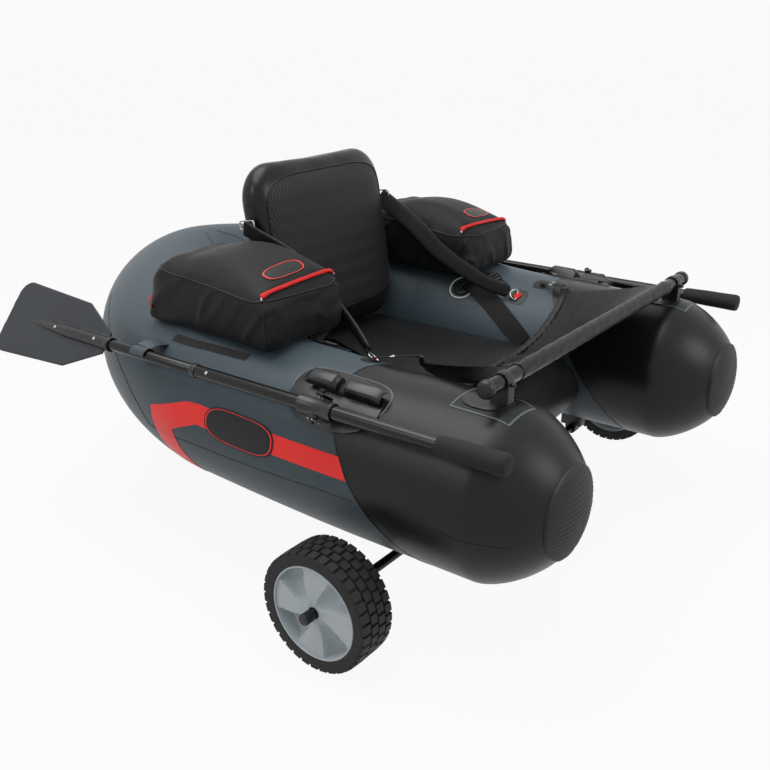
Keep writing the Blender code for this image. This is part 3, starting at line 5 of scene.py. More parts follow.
import bpy
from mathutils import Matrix, Vector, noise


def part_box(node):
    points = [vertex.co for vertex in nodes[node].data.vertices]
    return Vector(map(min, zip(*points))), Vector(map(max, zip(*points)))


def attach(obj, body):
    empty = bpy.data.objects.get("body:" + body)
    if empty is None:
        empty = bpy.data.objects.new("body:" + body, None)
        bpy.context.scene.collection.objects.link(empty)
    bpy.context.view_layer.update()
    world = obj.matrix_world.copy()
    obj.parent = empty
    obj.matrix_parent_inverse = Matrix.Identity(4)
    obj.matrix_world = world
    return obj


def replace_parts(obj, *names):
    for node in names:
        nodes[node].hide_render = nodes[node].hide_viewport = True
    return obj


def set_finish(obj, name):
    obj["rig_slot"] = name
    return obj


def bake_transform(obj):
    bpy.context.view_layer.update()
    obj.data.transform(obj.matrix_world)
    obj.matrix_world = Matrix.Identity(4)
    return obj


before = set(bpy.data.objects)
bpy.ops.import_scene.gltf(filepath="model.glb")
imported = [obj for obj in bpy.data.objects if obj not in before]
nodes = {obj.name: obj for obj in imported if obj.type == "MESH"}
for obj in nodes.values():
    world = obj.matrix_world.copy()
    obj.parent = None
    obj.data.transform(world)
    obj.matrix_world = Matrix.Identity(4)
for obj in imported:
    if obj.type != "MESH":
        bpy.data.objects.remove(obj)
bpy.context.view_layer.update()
bpy.ops.object.select_all(action="DESELECT")


# The studio: a pale floor, soft lamps overhead and to the sides, and the photograph's own view.
# The floor is nearly white to the camera and still keeps the soft shadow.

LENS, SENSOR, CAMERA_SPOT, CAMERA_DIP, CAMERA_TURN = 44.17, 36, (-1.8846, -1.4627, 1.2184), 21.454, -53.2
ROOM_LIGHT, SEEN_WHITE, FLOOR_GREY, FLOOR_MATT, FLOOR_GLOW = 0.34, 0.952, 0.55, 0.9, 0.93
FLOOR_SIZE, FLOOR_DROP = 120, 0.0005

camera_data = bpy.data.cameras.new("photo_view")
camera_data.lens = LENS
camera_data.sensor_width = SENSOR
camera = bpy.data.objects.new("photo_view", camera_data)
camera.location = CAMERA_SPOT
camera.rotation_euler = (math.radians(90 - CAMERA_DIP), 0, math.radians(CAMERA_TURN))
bpy.context.scene.collection.objects.link(camera)
bpy.context.scene.camera = camera
bpy.context.scene.view_settings.view_transform = "Standard"

for name, place, aim, width, power in (("overhead_softbox", (-0.5, 0.4, 3.4), (0, 0, 0.3), 3.0, 96),
                                       ("near_side_softbox", (-3.2, 0.9, 2.6), (0, 0, 0.4), 1.6, 20),
                                       ("front_softbox", (0.4, -3.4, 2.4), (0, 0, 0.4), 1.8, 40)):
    lamp = bpy.data.lights.new(name, "AREA")
    lamp.shape = "DISK"
    lamp.size = width
    lamp.energy = power
    holder = bpy.data.objects.new(name, lamp)
    holder.location = place
    holder.rotation_euler = (Vector(aim) - Vector(place)).to_track_quat("-Z", "Y").to_euler()
    bpy.context.scene.collection.objects.link(holder)


def plug(tree, socket, value):
    """Feeds a socket from a link or a plain value."""
    if isinstance(value, bpy.types.NodeSocket):
        tree.links.new(value, socket)
    else:
        socket.default_value = value


def fill(tree, node, **inputs):
    """Feeds a node's named inputs; an underscore stands for a space."""
    for label, value in inputs.items():
        plug(tree, node.inputs[label.replace("_", " ")], value)
    return node


def added(tree, kind, **inputs):
    """A new shader node with its inputs fed."""
    return fill(tree, tree.nodes.new("ShaderNode" + kind), **inputs)


def maths(tree, operation, *values):
    """A Math node whose inputs are links or plain values."""
    node = tree.nodes.new("ShaderNodeMath")
    node.operation = operation
    for socket, value in zip(node.inputs, values):
        plug(tree, socket, value)
    return node.outputs[0]


def seen_rays(tree):
    """One for the rays that look at the background, directly or in a reflection or through glass."""
    path = tree.nodes.new("ShaderNodeLightPath")
    total = path.outputs["Is Camera Ray"]
    for kind in ("Is Glossy Ray", "Is Transmission Ray"):
        total = maths(tree, "MAXIMUM", total, path.outputs[kind])
    return total


def show_white(tree, share, lit, seen, output):
    """Gives an output the lit shader, and to the rays in share the seen one."""
    pick = added(tree, "MixShader", Fac=share)
    tree.links.new(lit.outputs[0], pick.inputs[1])
    tree.links.new(seen.outputs[0], pick.inputs[2])
    tree.links.new(pick.outputs["Shader"], tree.nodes[output].inputs["Surface"])


world = bpy.data.worlds.new("studio")
world.use_nodes = True
bpy.context.scene.world = world
tree = world.node_tree
room = fill(tree, tree.nodes["Background"], Color=(1, 1, 1, 1), Strength=ROOM_LIGHT)
white = added(tree, "Background", Color=(SEEN_WHITE, SEEN_WHITE, SEEN_WHITE, 1))
show_white(tree, seen_rays(tree), room, white, "World Output")

bpy.ops.mesh.primitive_plane_add(size=FLOOR_SIZE, location=(0, 0, -FLOOR_DROP))
floor = bpy.context.object
floor.name = "studio_floor"
paint = bpy.data.materials.new("studio_floor")
paint.use_nodes = True
tree = paint.node_tree
matt = fill(tree, tree.nodes["Principled BSDF"], Base_Color=(FLOOR_GREY, FLOOR_GREY, FLOOR_GREY, 1),
            Roughness=FLOOR_MATT)
glow = added(tree, "Emission")
show_white(tree, maths(tree, "MULTIPLY", seen_rays(tree), FLOOR_GLOW), matt, glow, "Material Output")
floor.data.materials.append(paint)


# The inflated hull: one U of coated fabric, grey over the stern and the sides and black at the bows.
# Both skins are swept round the same rising centreline and meet at a slanting welded seam.

TUBE_R, STERN_R = 0.184, 0.200
TUBE_X, TUBE_Z = 0.429, 0.349
CREST_Z = TUBE_Z + TUBE_R
STERN_Y = 0.629
BEND_LENGTH, BEND_POWER = 0.570, 1.65
BEND_Y = STERN_Y - BEND_LENGTH
RISE_Y, RISE_LENGTH, STERN_RISE, RISE_POWER = -0.381, 1.01, 0.083, 1.6
NOSE_END_Y = -0.829
CAP_Y = NOSE_END_Y + 0.028
TAPER_Y, NOSE_TAPER, NOSE_FLAT_R, NOSE_POWER = -0.671, 0.148, 0.058, 1.46
SEAM_POINT = Vector((TUBE_X, TAPER_Y + 0.343, CREST_Z))
SEAM_NORMAL = Vector((-math.tan(math.radians(9.9)), 1, -math.tan(math.radians(36.5)))).normalized()


def tube_radius(y):
    if y < TAPER_Y:
        share = max(0.0, 1 - (TAPER_Y - y) / NOSE_TAPER)
        swell = (1 - (1 - share) ** NOSE_POWER) ** (1 / NOSE_POWER)
        return NOSE_FLAT_R + (TUBE_R - NOSE_FLAT_R) * swell
    return TUBE_R + (STERN_R - TUBE_R) * max(0.0, (y - RISE_Y) / RISE_LENGTH) ** RISE_POWER


def tube_height(y):
    return TUBE_Z + STERN_RISE * max(0.0, (y - RISE_Y) / RISE_LENGTH) ** RISE_POWER


def centre_at(run):
    """Centreline of the left half: run is y along the pontoon, then 0 to 1 round the bend beyond BEND_Y."""
    if run <= BEND_Y:
        return Vector((TUBE_X, run, tube_height(run)))
    turn = min(1.0, run - BEND_Y) * math.pi / 2
    x = TUBE_X * max(0.0, math.cos(turn)) ** (2 / BEND_POWER)
    y = BEND_Y + BEND_LENGTH * math.sin(turn) ** (2 / BEND_POWER)
    return Vector((x, y, tube_height(y)))


def skin_at(run, degrees, lift=0.0, side=1):
    """Point on the skin: degrees from the crest, positive outboard; side is 1 for left and -1 for right."""
    centre = centre_at(run)
    step = 0.002
    along = (centre_at(min(run + step, BEND_Y + 0.998)) - centre_at(min(run, BEND_Y + 0.996) - step)).normalized()
    out = along.cross(Vector((0, 0, 1))).normalized()
    up = out.cross(along)
    lean = math.radians(degrees)
    point = centre + (out * math.sin(lean) + up * math.cos(lean)) * (tube_radius(centre.y) + lift)
    point.x *= side
    return point


def only(piece):
    """Leaves just this piece selected and active."""
    bpy.ops.object.select_all(action="DESELECT")
    bpy.context.view_layer.objects.active = piece
    piece.select_set(True)


def finished(name, body, skin, slot, smooth=35):
    """Names the active object, gives it its material and body, and bakes its place into its mesh."""
    piece = bpy.context.object
    piece.name = piece.data.name = name
    piece.data.materials.clear()
    piece.data.materials.append(skin)
    bpy.ops.object.mode_set(mode="OBJECT")
    bpy.ops.object.select_all(action="DESELECT")
    piece.select_set(True)
    bpy.ops.object.transform_apply(location=True, rotation=True, scale=True)
    bpy.ops.object.shade_smooth_by_angle(angle=math.radians(smooth))
    if body:
        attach(piece, body)
    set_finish(piece, slot)
    bpy.ops.object.select_all(action="DESELECT")
    return piece


def mirrored(piece, name, body):
    """The other side's copy with its own mesh, turned through x and with its faces put right."""
    other = piece.copy()
    other.data = piece.data.copy()
    other.name = other.data.name = name
    other.parent = None
    bpy.context.scene.collection.objects.link(other)
    only(other)
    other.scale.x = -1
    bpy.ops.object.transform_apply(location=False, rotation=False, scale=True)
    bpy.ops.object.mode_set(mode="EDIT")
    bpy.ops.mesh.select_all(action="SELECT")
    bpy.ops.mesh.flip_normals()
    bpy.ops.object.mode_set(mode="OBJECT")
    if body:
        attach(other, body)
    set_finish(other, piece["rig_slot"])
    bpy.ops.object.select_all(action="DESELECT")
    return other


def body_at(body, label):
    """The body of that side, where the two sides move on their own."""
    return body if body in (None, "hull", "backrest") else body + "_" + label


def both_sides(name, body, skin, slot, smooth=40, node=None):
    """Finishes the active left piece, mirrors it, and hides a pair of CAD nodes in their place if named."""
    left = finished(name + "_left", body_at(body, "left"), skin, slot, smooth)
    right = mirrored(left, name + "_right", body_at(body, "right"))
    if node:
        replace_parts(left, node + "_left")
        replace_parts(right, node + "_right")
    return left, right


def effect_group(name, inputs, outputs):
    """An empty shader node group with named sockets."""
    group = bpy.data.node_groups.new(name, "ShaderNodeTree")
    for label, kind, value in inputs:
        socket = group.interface.new_socket(name=label, in_out="INPUT", socket_type="NodeSocket" + kind)
        socket.default_value = value
    for label, kind in outputs:
        group.interface.new_socket(name=label, in_out="OUTPUT", socket_type="NodeSocket" + kind)
    return group, group.nodes.new("NodeGroupInput"), group.nodes.new("NodeGroupOutput")


def blended(tree, share, first, second):
    """A colour between two."""
    node = tree.nodes.new("ShaderNodeMix")
    node.data_type = "RGBA"
    return fill(tree, node, Factor=share, A=first, B=second).outputs["Result"]


def material(name, group=None):
    """A new node material with its node tree, its shader and its effect group."""
    made = bpy.data.materials.new(name)
    made.use_nodes = True
    tree = made.node_tree
    effect = None
    if group:
        effect = tree.nodes.new("ShaderNodeGroup")
        effect.node_tree = group
    return made, tree, tree.nodes["Principled BSDF"], effect


# Coated fabric: a fine grain, soft creases and a slightly uneven, rubbed colour
coat_group, coat_in, coat_out = effect_group(
    "coated_fabric",
    [("Colour", "Color", (0.1, 0.1, 0.1, 1)), ("Worn colour", "Color", (0.2, 0.2, 0.2, 1)),
     ("Grain scale", "Float", 900.0), ("Crease scale", "Float", 14.0), ("Crease depth", "Float", 0.25),
     ("Roughness", "Float", 0.45)],
    [("Colour", "Color"), ("Roughness", "Float"), ("Normal", "Vector")])
RUB_SCALE, RUB_DETAIL, RUB_EDGE, RUB_FROM, RUB_TO, RUB_MOST, RUB_ROUGHER = 5.0, 9, 0.62, 0.42, 0.72, 0.5, 0.22
CREASE_RISE, PORE_RISE, PORE_DEPTH = 0.006, 0.0006, 0.12
tree, given = coat_group, coat_in.outputs
place = tree.nodes.new("ShaderNodeTexCoord").outputs["Object"]
cloud = added(tree, "TexNoise", Vector=place, Scale=given["Crease scale"], Detail=6)
rub = added(tree, "TexNoise", Vector=place, Scale=RUB_SCALE, Detail=RUB_DETAIL, Roughness=RUB_EDGE)
grain = added(tree, "TexNoise", Vector=place, Scale=given["Grain scale"], Detail=2)
fade = added(tree, "MapRange", Value=rub.outputs["Fac"], From_Min=RUB_FROM, From_Max=RUB_TO, To_Max=RUB_MOST)
rougher = maths(tree, "MULTIPLY", maths(tree, "SUBTRACT", rub.outputs["Fac"], 0.5), RUB_ROUGHER)
crease = added(tree, "Bump", Strength=given["Crease depth"], Distance=CREASE_RISE, Height=cloud.outputs["Fac"])
pores = added(tree, "Bump", Strength=PORE_DEPTH, Distance=PORE_RISE, Height=grain.outputs["Fac"],
              Normal=crease.outputs["Normal"])
fill(tree, coat_out, Colour=blended(tree, fade.outputs["Result"], given["Colour"], given["Worn colour"]),
     Roughness=maths(tree, "ADD", given["Roughness"], rougher), Normal=pores.outputs["Normal"])


def coated(name, colour, worn, roughness, crease_scale=14.0, crease_depth=0.25, grain_scale=900.0,
           sheen=0.0, gloss=0.24):
    """A coated or moulded surface finished through the coated_fabric group."""
    made, tree, shader, coat = material(name, coat_group)
    fill(tree, coat, Colour=(*colour, 1), Worn_colour=(*worn, 1), Grain_scale=grain_scale,
         Crease_scale=crease_scale, Crease_depth=crease_depth, Roughness=roughness)
    fill(tree, shader, Base_Color=coat.outputs["Colour"], Roughness=coat.outputs["Roughness"],
         Normal=coat.outputs["Normal"], Sheen_Weight=sheen, Specular_IOR_Level=gloss)
    return made


grey_skin = coated("grey_coated_fabric", (0.042, 0.060, 0.072), (0.062, 0.082, 0.097), 0.44, 9.0, 0.12)
black_skin = coated("black_coated_fabric", (0.0070, 0.0072, 0.0080), (0.013, 0.013, 0.0142), 0.36, 10.0, 0.16)
HULL_STEPS, BEND_STEPS, NOSE_STEPS, HULL_SIDES = 56, 40, 26, 80

runs = [CAP_Y + (TAPER_Y - CAP_Y) * (i / NOSE_STEPS) ** 1.7 for i in range(NOSE_STEPS)]
runs += [TAPER_Y + (BEND_Y - TAPER_Y) * i / HULL_STEPS for i in range(HULL_STEPS)]
runs += [BEND_Y + i / BEND_STEPS for i in range(BEND_STEPS + 1)]
rings = []
for side in (1, -1):
    ordered = runs if side == 1 else runs[-2::-1]
    for run in ordered:
        ring = [skin_at(run, 360 * k / HULL_SIDES, 0, side) for k in range(HULL_SIDES)]
        rings.append(ring)


def mend(merge=None, outward=True):
    """Merges the active mesh's points closer than merge, and turns its faces outwards."""
    bpy.ops.object.mode_set(mode="EDIT")
    bpy.ops.mesh.select_all(action="SELECT")
    if merge:
        bpy.ops.mesh.remove_doubles(threshold=merge)
    if outward:
        bpy.ops.mesh.normals_make_consistent(inside=False)
    bpy.ops.object.mode_set(mode="OBJECT")


def made_of(name, points, faces, edges=()):
    """A new piece from points and faces, selected and active."""
    mesh = bpy.data.meshes.new(name)
    mesh.from_pydata([tuple(point) for point in points], list(edges), faces)
    piece = bpy.data.objects.new(name, mesh)
    bpy.context.scene.collection.objects.link(piece)
    only(piece)
    return piece


def grid_faces(rows, count, ringed=False):
    """The four-sided faces between rows of count points, closed into rings if asked."""
    return [(i * count + k, i * count + (k + 1) % count, (i + 1) * count + (k + 1) % count, (i + 1) * count + k)
            for i in range(rows - 1) for k in range(count if ringed else count - 1)]


def lofted(name, rings, closed_ends=True):
    """A skin through rings of points; every ring has the same count."""
    count = len(rings[0])
    faces = grid_faces(len(rings), count, ringed=True)
    if closed_ends:
        faces += [tuple(range(count)), tuple(range((len(rings) - 1) * count, len(rings) * count))]
    piece = made_of(name, [point for ring in rings for point in ring], faces)
    mend()
    return piece


def cut_away(point, normal):
    """Bisects the active mesh, drops what lies on the normal's side and closes the cut."""
    bpy.ops.object.mode_set(mode="EDIT")
    bpy.ops.mesh.select_all(action="SELECT")
    bpy.ops.mesh.bisect(plane_co=point, plane_no=normal, use_fill=True, clear_outer=True)
    bpy.ops.object.mode_set(mode="OBJECT")


def seam_plane(side, toward):
    """A point and the normal of that side's seam, looking to the stern (1) or to the bow (-1)."""
    return (Vector((side * SEAM_POINT.x, SEAM_POINT.y, SEAM_POINT.z)),
            Vector((side * SEAM_NORMAL.x, SEAM_NORMAL.y, SEAM_NORMAL.z)) * toward)


lofted("grey_hull_skin", rings)
for side in (1, -1):
    cut_away(*seam_plane(side, -1))
hull = finished("grey_hull_skin", "hull", grey_skin, "grey_skin", 60)
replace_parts(hull, "stern_tube", "pontoon_left", "pontoon_right")
for side, label in ((1, "left"), (-1, "right")):
    lofted("bow_skin_" + label, rings)
    cut_away(*seam_plane(side, 1))
    cut_away(Vector((0, 0, 0)), Vector((-side, 0, 0)))
    bow = finished("bow_skin_" + label, "hull", black_skin, "black_skin", 60)
    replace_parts(bow, "bow_" + label)


# Welded on the hull: the red side stripe, the plain badge plate, seam tapes and patches.
# All are thin sheets laid on the skin, in degrees round the tube from its crest.

red_print = coated("red_printed_fabric", (0.84, 0.036, 0.030), (0.88, 0.055, 0.045), 0.42, 9.0, 0.08)
seam_grey = coated("grey_seam_tape", (0.030, 0.038, 0.046), (0.050, 0.060, 0.072), 0.50, 20.0, 0.10)
seam_black = coated("black_seam_tape", (0.007, 0.007, 0.008), (0.020, 0.020, 0.021), 0.34, 20.0, 0.15)
patch_edge = coated("patch_edge_print", (0.100, 0.130, 0.140), (0.060, 0.072, 0.078), 0.50, 30.0, 0.10)
badge_black = coated("badge_plate_black", (0.010, 0.010, 0.011), (0.018, 0.018, 0.019), 0.34, 30.0, 0.06)


def face_out(piece, outward):
    """Turns over a sheet whose middle face looks away from outward."""
    faces = piece.data.polygons
    if faces[len(faces) // 2].normal.dot(outward) < 0:
        piece.data.flip_normals()


def thickened(piece, thickness):
    """Gives the active sheet its thickness, inwards from its outer side."""
    wall = piece.modifiers.new("thickness", "SOLIDIFY")
    wall.thickness = thickness
    wall.offset = -1
    bpy.ops.object.modifier_apply(modifier="thickness")


def laid_sheet(name, rows, lift, thickness, skin, slot="grey_skin"):
    """A thin closed sheet through rows of (run, degrees) on the left skin and on the right one."""
    for side, label in ((1, "left"), (-1, "right")):
        points = [skin_at(run, degrees, lift, side) for row in rows for run, degrees in row]
        piece = made_of(name, points, grid_faces(len(rows), len(rows[0])))
        run, degrees = rows[len(rows) // 2][len(rows[0]) // 2]
        face_out(piece, skin_at(run, degrees, 0.01, side) - skin_at(run, degrees, 0, side))
        thickened(piece, thickness)
        finished(name + "_" + label, "hull", skin, slot, 40)


def between(points, share):
    """A point that far along a list of (run, degrees) stations, from 0 to 1."""
    at = share * (len(points) - 1)
    i = min(int(at), len(points) - 2)
    part = at - i
    return tuple(a + (b - a) * part for a, b in zip(points[i], points[i + 1]))


STRIPE_OUTER = [(-0.3896, 70.2), (-0.3411, 70.3), (-0.2227, 71.0), (-0.1100, 71.2), (0.0008, 71.1), (0.0377, 72.4),
                (0.1709, 86.9), (0.1691, 95.3), (0.1632, 104.7), (0.1530, 117.9), (0.1200, 133.0), (0.0750, 144.0)]
STRIPE_INNER = [(-0.4151, 83.9), (-0.3488, 84.0), (-0.2268, 84.5), (-0.1100, 85.0), (-0.0215, 85.5), (0.0045, 85.5),
                (0.0879, 97.5), (0.0823, 103.7), (0.0727, 113.4), (0.0600, 122.0), (0.0514, 134.3), (0.0500, 144.0)]
rows = []
for i in range(89):
    outer, inner = between(STRIPE_OUTER, i / 88), between(STRIPE_INNER, i / 88)
    rows.append([between([outer, inner], k / 8) for k in range(9)])
laid_sheet("side_stripe", rows, 0.0008, 0.0012, red_print)


def laid_pill(name, half_run, half_degrees, lift, thickness, skin, hole=0.0, centre=(-0.1205, 78.6)):
    """A rounded plate on the hull's side, or a ring if it has a hole, with its middle given as (run, degrees)."""
    rows = []
    for ring in range(9):
        reach = hole + (1 - hole) * ring / 8
        row = []
        for k in range(73):
            turn = math.tau * k / 72
            u = math.copysign(abs(math.cos(turn)) ** 0.56, math.cos(turn))
            v = math.copysign(abs(math.sin(turn)) ** 0.80, math.sin(turn))
            row.append((centre[0] + half_run * reach * u, centre[1] + half_degrees * reach * v))
        rows.append(row)
    if hole == 0:
        rows[0] = [centre] * 73
    laid_sheet(name, rows, lift, thickness, skin)


laid_pill("badge_plate", 0.1000, 11.9, 0.0024, 0.0028, badge_black)
laid_pill("badge_border", 0.0965, 10.9, 0.0029, 0.0012, red_print, 0.965)
laid_pill("badge_inlay", 0.0890, 9.2, 0.0029, 0.0012, badge_black)


def seam_tape(name, stations, width, skin, steps=40, lift=0.0008):
    """A narrow raised seam along (run, degrees) stations."""
    rows = []
    for i in range(steps + 1):
        here = between(stations, i / steps)
        ahead = between(stations, min(1.0, (i + 0.5) / steps))
        back = between(stations, max(0.0, (i - 0.5) / steps))
        along = skin_at(*ahead) - skin_at(*back)
        turn_x = (ahead[1] - back[1]) * math.pi / 180 * TUBE_R / max(along.length, 1e-6)
        turn_y = (ahead[0] - back[0]) / max(along.length, 1e-6)
        row = []
        for k in range(5):
            off = width * (k / 4 - 0.5)
            row.append((here[0] - turn_x * off, here[1] + math.degrees(turn_y * off / TUBE_R)))
        rows.append(row)
    laid_sheet(name, rows, lift, lift + 0.0006, skin)


seam_tape("long_side_seam", [(0.1962, 106.5), (0.0296, 102.9), (-0.1242, 100.8), (-0.2397, 98.7), (-0.3484, 96.5),
                             (-0.4300, 96.3)], 0.0022, seam_grey, 60)
seam_tape("stern_welt", [(0.62, 56.0), (0.5285, 63.0), (0.4165, 70.0), (0.3069, 82.0), (0.2334, 95.0),
                         (0.1962, 106.5)], 0.0030, seam_grey, 60)
seam_tape("stern_crest_seam_low", [(0.9990, -13.0), (0.9767, -17.1), (0.9145, -24.0), (0.8763, -31.0), (0.86, -36.0)],
          0.0018, seam_grey)
seam_tape("bow_low_seam", [(-0.4560, 96.4), (-0.5459, 96.6), (-0.6368, 95.6), (-0.7055, 97.5), (-0.7595, 101.8)],
          0.0030, seam_black, 40)
seam_tape("bow_ring_seam", [(-0.7023, 44.0), (-0.7045, 60.0), (-0.7052, 70.0), (-0.7031, 90.0)], 0.0016, seam_black)
bow_edge = []
for degrees in range(-176, 177, 8):
    low, high = -0.66, -0.10
    for _ in range(30):
        middle = (low + high) / 2
        ahead = (skin_at(middle, degrees) - SEAM_POINT).dot(SEAM_NORMAL)
        low, high = (middle, high) if ahead < 0 else (low, middle)
    bow_edge.append((low, degrees))
seam_tape("bow_edge_seam", bow_edge, 0.0030, seam_black, 120, 0.0007)

CLAMP_PATCH = [(-0.5699, 17.2), (-0.6979, 18.1), (-0.7016, -12.0), (-0.5680, -13.0)]
inside = []
for i in range(13):
    inside.append([between([between([CLAMP_PATCH[0], CLAMP_PATCH[1]], k / 12),
                            between([CLAMP_PATCH[3], CLAMP_PATCH[2]], k / 12)], i / 12) for k in range(13)])
laid_sheet("clamp_patch", inside, 0.0007, 0.0010, black_skin, "black_skin")
seam_tape("clamp_patch_edge", CLAMP_PATCH + CLAMP_PATCH[:1], 0.0040, patch_edge, 96, 0.0011)


# Nose caps: ribbed rubber domes glued over the blunt bow ends, with a raised rolled rim.
# The ribs run level across the dome and die out at the rim.

rubber = coated("nose_cap_rubber", (0.016, 0.016, 0.017), (0.034, 0.034, 0.035), 0.52, 30.0, 0.10, 1400.0)
CAP_R, CAP_BACK, CAP_DEPTH = tube_radius(CAP_Y) - 0.0006, -0.8011, 0.0262
CAP_RIBS, CAP_SIDES, CAP_RINGS, CAP_RIM, CAP_RIB, CAP_DOME_POWER = 19, 112, 44, 0.006, 0.0021, 2.2
CAP_RIM_SHARES = (0.0, 0.55, 1.0)
bpy.ops.mesh.primitive_circle_add(vertices=CAP_SIDES, radius=1, fill_type="NOTHING",
                                  location=(TUBE_X, CAP_BACK, TUBE_Z), rotation=(math.pi / 2, 0, 0))
bpy.context.object.data.name = "nose_cap"
bpy.ops.object.transform_apply()
bpy.ops.object.mode_set(mode="EDIT")
for ring in range(CAP_RINGS):
    bpy.ops.mesh.extrude_region_move()
bpy.ops.mesh.merge(type="CENTER")
bpy.ops.object.mode_set(mode="OBJECT")
cap = bpy.context.object
for i, vert in enumerate(cap.data.vertices):
    ring, k = divmod(i, CAP_SIDES)
    if ring >= CAP_RINGS:
        reach, turn = 0.0, 0.0
    else:
        reach, turn = 1 - max(0, ring - 2) / (CAP_RINGS - 2), math.tau * k / CAP_SIDES
    across, height = CAP_R * reach * math.cos(turn), CAP_R * reach * math.sin(turn)
    dome = (CAP_DEPTH - CAP_RIM) * (1 - reach ** CAP_DOME_POWER)
    fade = min(1.0, (1 - reach) / 0.05)
    rib = CAP_RIB * fade * (0.5 + 0.5 * math.cos(math.tau * CAP_RIBS * (height + 0.02 * across) / (2 * CAP_R)))
    vert.co = (TUBE_X + across, CAP_BACK - CAP_RIM * CAP_RIM_SHARES[min(ring, 2)] - dome - rib, TUBE_Z + height)
cap_left = finished("nose_cap_dome_left", "hull", rubber, "ribbed_rubber", 50)
bpy.context.view_layer.objects.active = cap_left
mend()
if cap_left.data.polygons[-1].normal.y > 0:
    cap_left.data.flip_normals()
cap_right = mirrored(cap_left, "nose_cap_dome_right", "hull")
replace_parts(cap_left, "nose_cap_left")
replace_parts(cap_right, "nose_cap_right")


# Seat cushion: an inflated pad of black coated fabric wedged between the pontoons.
# Its top is crowned, its front edge rolls over, and its sides lie along the tubes.

# Black coated fabric, set darker than the hull's black as painted shade for the seat's low place between the tubes.
pad_skin = coated("seat_coated_fabric", (0.0045, 0.0048, 0.0052), (0.009, 0.0095, 0.010), 0.46, 16.0, 0.22, 700.0)


def superellipse(count, half_u, half_v, power):
    """Points round a rounded box, as (u, v) pairs."""
    pairs = []
    for k in range(count):
        turn = math.tau * k / count
        cos, sin = math.cos(turn), math.sin(turn)
        pairs.append((half_u * math.copysign(abs(cos) ** (2 / power), cos),
                      half_v * math.copysign(abs(sin) ** (2 / power), sin)))
    return pairs


def inside_hull(point, room):
    """Pulls a point in towards the middle until it is clear of the pontoon's round inner skin."""
    centre = centre_at(max(STRAIGHT_FRONT, min(point.y, BEND_Y)))
    across, up = abs(point.x) - centre.x, point.z - centre.z
    reach = tube_radius(centre.y) + room
    if math.hypot(across, up) < reach and abs(up) < reach:
        point.x = math.copysign(centre.x - math.sqrt(reach ** 2 - up ** 2), point.x)
    return point


STRAIGHT_FRONT, SKIN_ROOM = -0.66, 0.0006
SEAT_LOW, SEAT_HIGH, SEAT_FRONT, SEAT_BACK, SEAT_HALF = 0.2055, 0.4095, -0.4965, 0.2995, 0.290
SEAT_NOSE, SEAT_TAIL, SEAT_CROWN, SEAT_STEPS = 0.110, 0.040, 0.0095, 60
seat_rings = []
for i in range(SEAT_STEPS + 1):
    y = SEAT_FRONT + (SEAT_BACK - SEAT_FRONT) * (i / SEAT_STEPS)
    nose = min(1.0, (y - SEAT_FRONT + SKIN_ROOM) / SEAT_NOSE)
    tail = min(1.0, (SEAT_BACK + SKIN_ROOM - y) / SEAT_TAIL)
    ease = math.sqrt(max(0.0, 1 - (1 - nose) ** 2)) * math.sqrt(max(0.0, 1 - (1 - tail) ** 2))
    ring = []
    for u, v in superellipse(72, SEAT_HALF, (SEAT_HIGH - SEAT_LOW) / 2 * max(ease, 0.02), 4.0):
        point = Vector((u, y, (SEAT_HIGH + SEAT_LOW) / 2 + v))
        if v > 0:
            point.z += SEAT_CROWN * max(0.0, 1 - (u / SEAT_HALF) ** 2) * ease
        ring.append(inside_hull(point, SKIN_ROOM))
    seat_rings.append(ring)
lofted("seat_cushion_pad", seat_rings)
seat = finished("seat_cushion_pad", "hull", pad_skin, "pad_skin", 60)
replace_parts(seat, "seat_cushion")


# Backrest: a stuffed pad with smooth glossy sides and a front panel of fine stitched waves.
# It swells out of its seams and leans back nine degrees about its foot.

side_leather = coated("backrest_side_leather", (0.0070, 0.0070, 0.0075), (0.014, 0.014, 0.0145), 0.28, 18.0,
                      0.22, 800.0)
BACK_HINGE, BACK_LEAN = Vector((0, 0.066, 0.4296)), math.radians(9.2)
VOXEL, SWELL_FRAMES, CLOTH_QUALITY, CLOTH_TENSION, CLOTH_BENDING, DENTS_LEFT = 0.006, 20, 5, 12, 0.6, 0.25


def swollen_shifts(piece, pressure, cap, even):
    """How far cloth under pressure moves each point: dents filled, capped, and evened out along the skin."""
    cloth = piece.modifiers.new("cloth", "CLOTH")
    cloth.settings.use_pressure = True
    cloth.settings.uniform_pressure_force = pressure
    cloth.settings.effector_weights.gravity = 0
    cloth.settings.quality = CLOTH_QUALITY
    cloth.settings.tension_stiffness = CLOTH_TENSION
    cloth.settings.bending_stiffness = CLOTH_BENDING
    cloth.collision_settings.use_collision = False
    start = [(vert.co.copy(), vert.normal.copy()) for vert in piece.data.vertices]
    for step in range(1, SWELL_FRAMES + 1):
        bpy.context.scene.frame_set(step)
    swollen = piece.evaluated_get(bpy.context.evaluated_depsgraph_get()).data
    moved = [vert.co.copy() for vert in swollen.vertices]
    piece.modifiers.remove(cloth)
    bpy.context.scene.frame_set(1)
    shifts = []
    for (old, normal), new in zip(start, moved):
        shift = new - old
        inward = shift.dot(normal)
        if inward < 0:
            shift -= normal * inward * (1 - DENTS_LEFT)
        if shift.length > cap:
            shift *= cap / shift.length
        shifts.append(shift)
    near = [[] for _ in start]
    for edge in piece.data.edges:
        first, second = edge.vertices
        near[first].append(second)
        near[second].append(first)
    for _ in range(even):
        shifts = [sum((shifts[k] for k in ring), shift.copy()) / (len(ring) + 1)
                  for shift, ring in zip(shifts, near)]
    return shifts


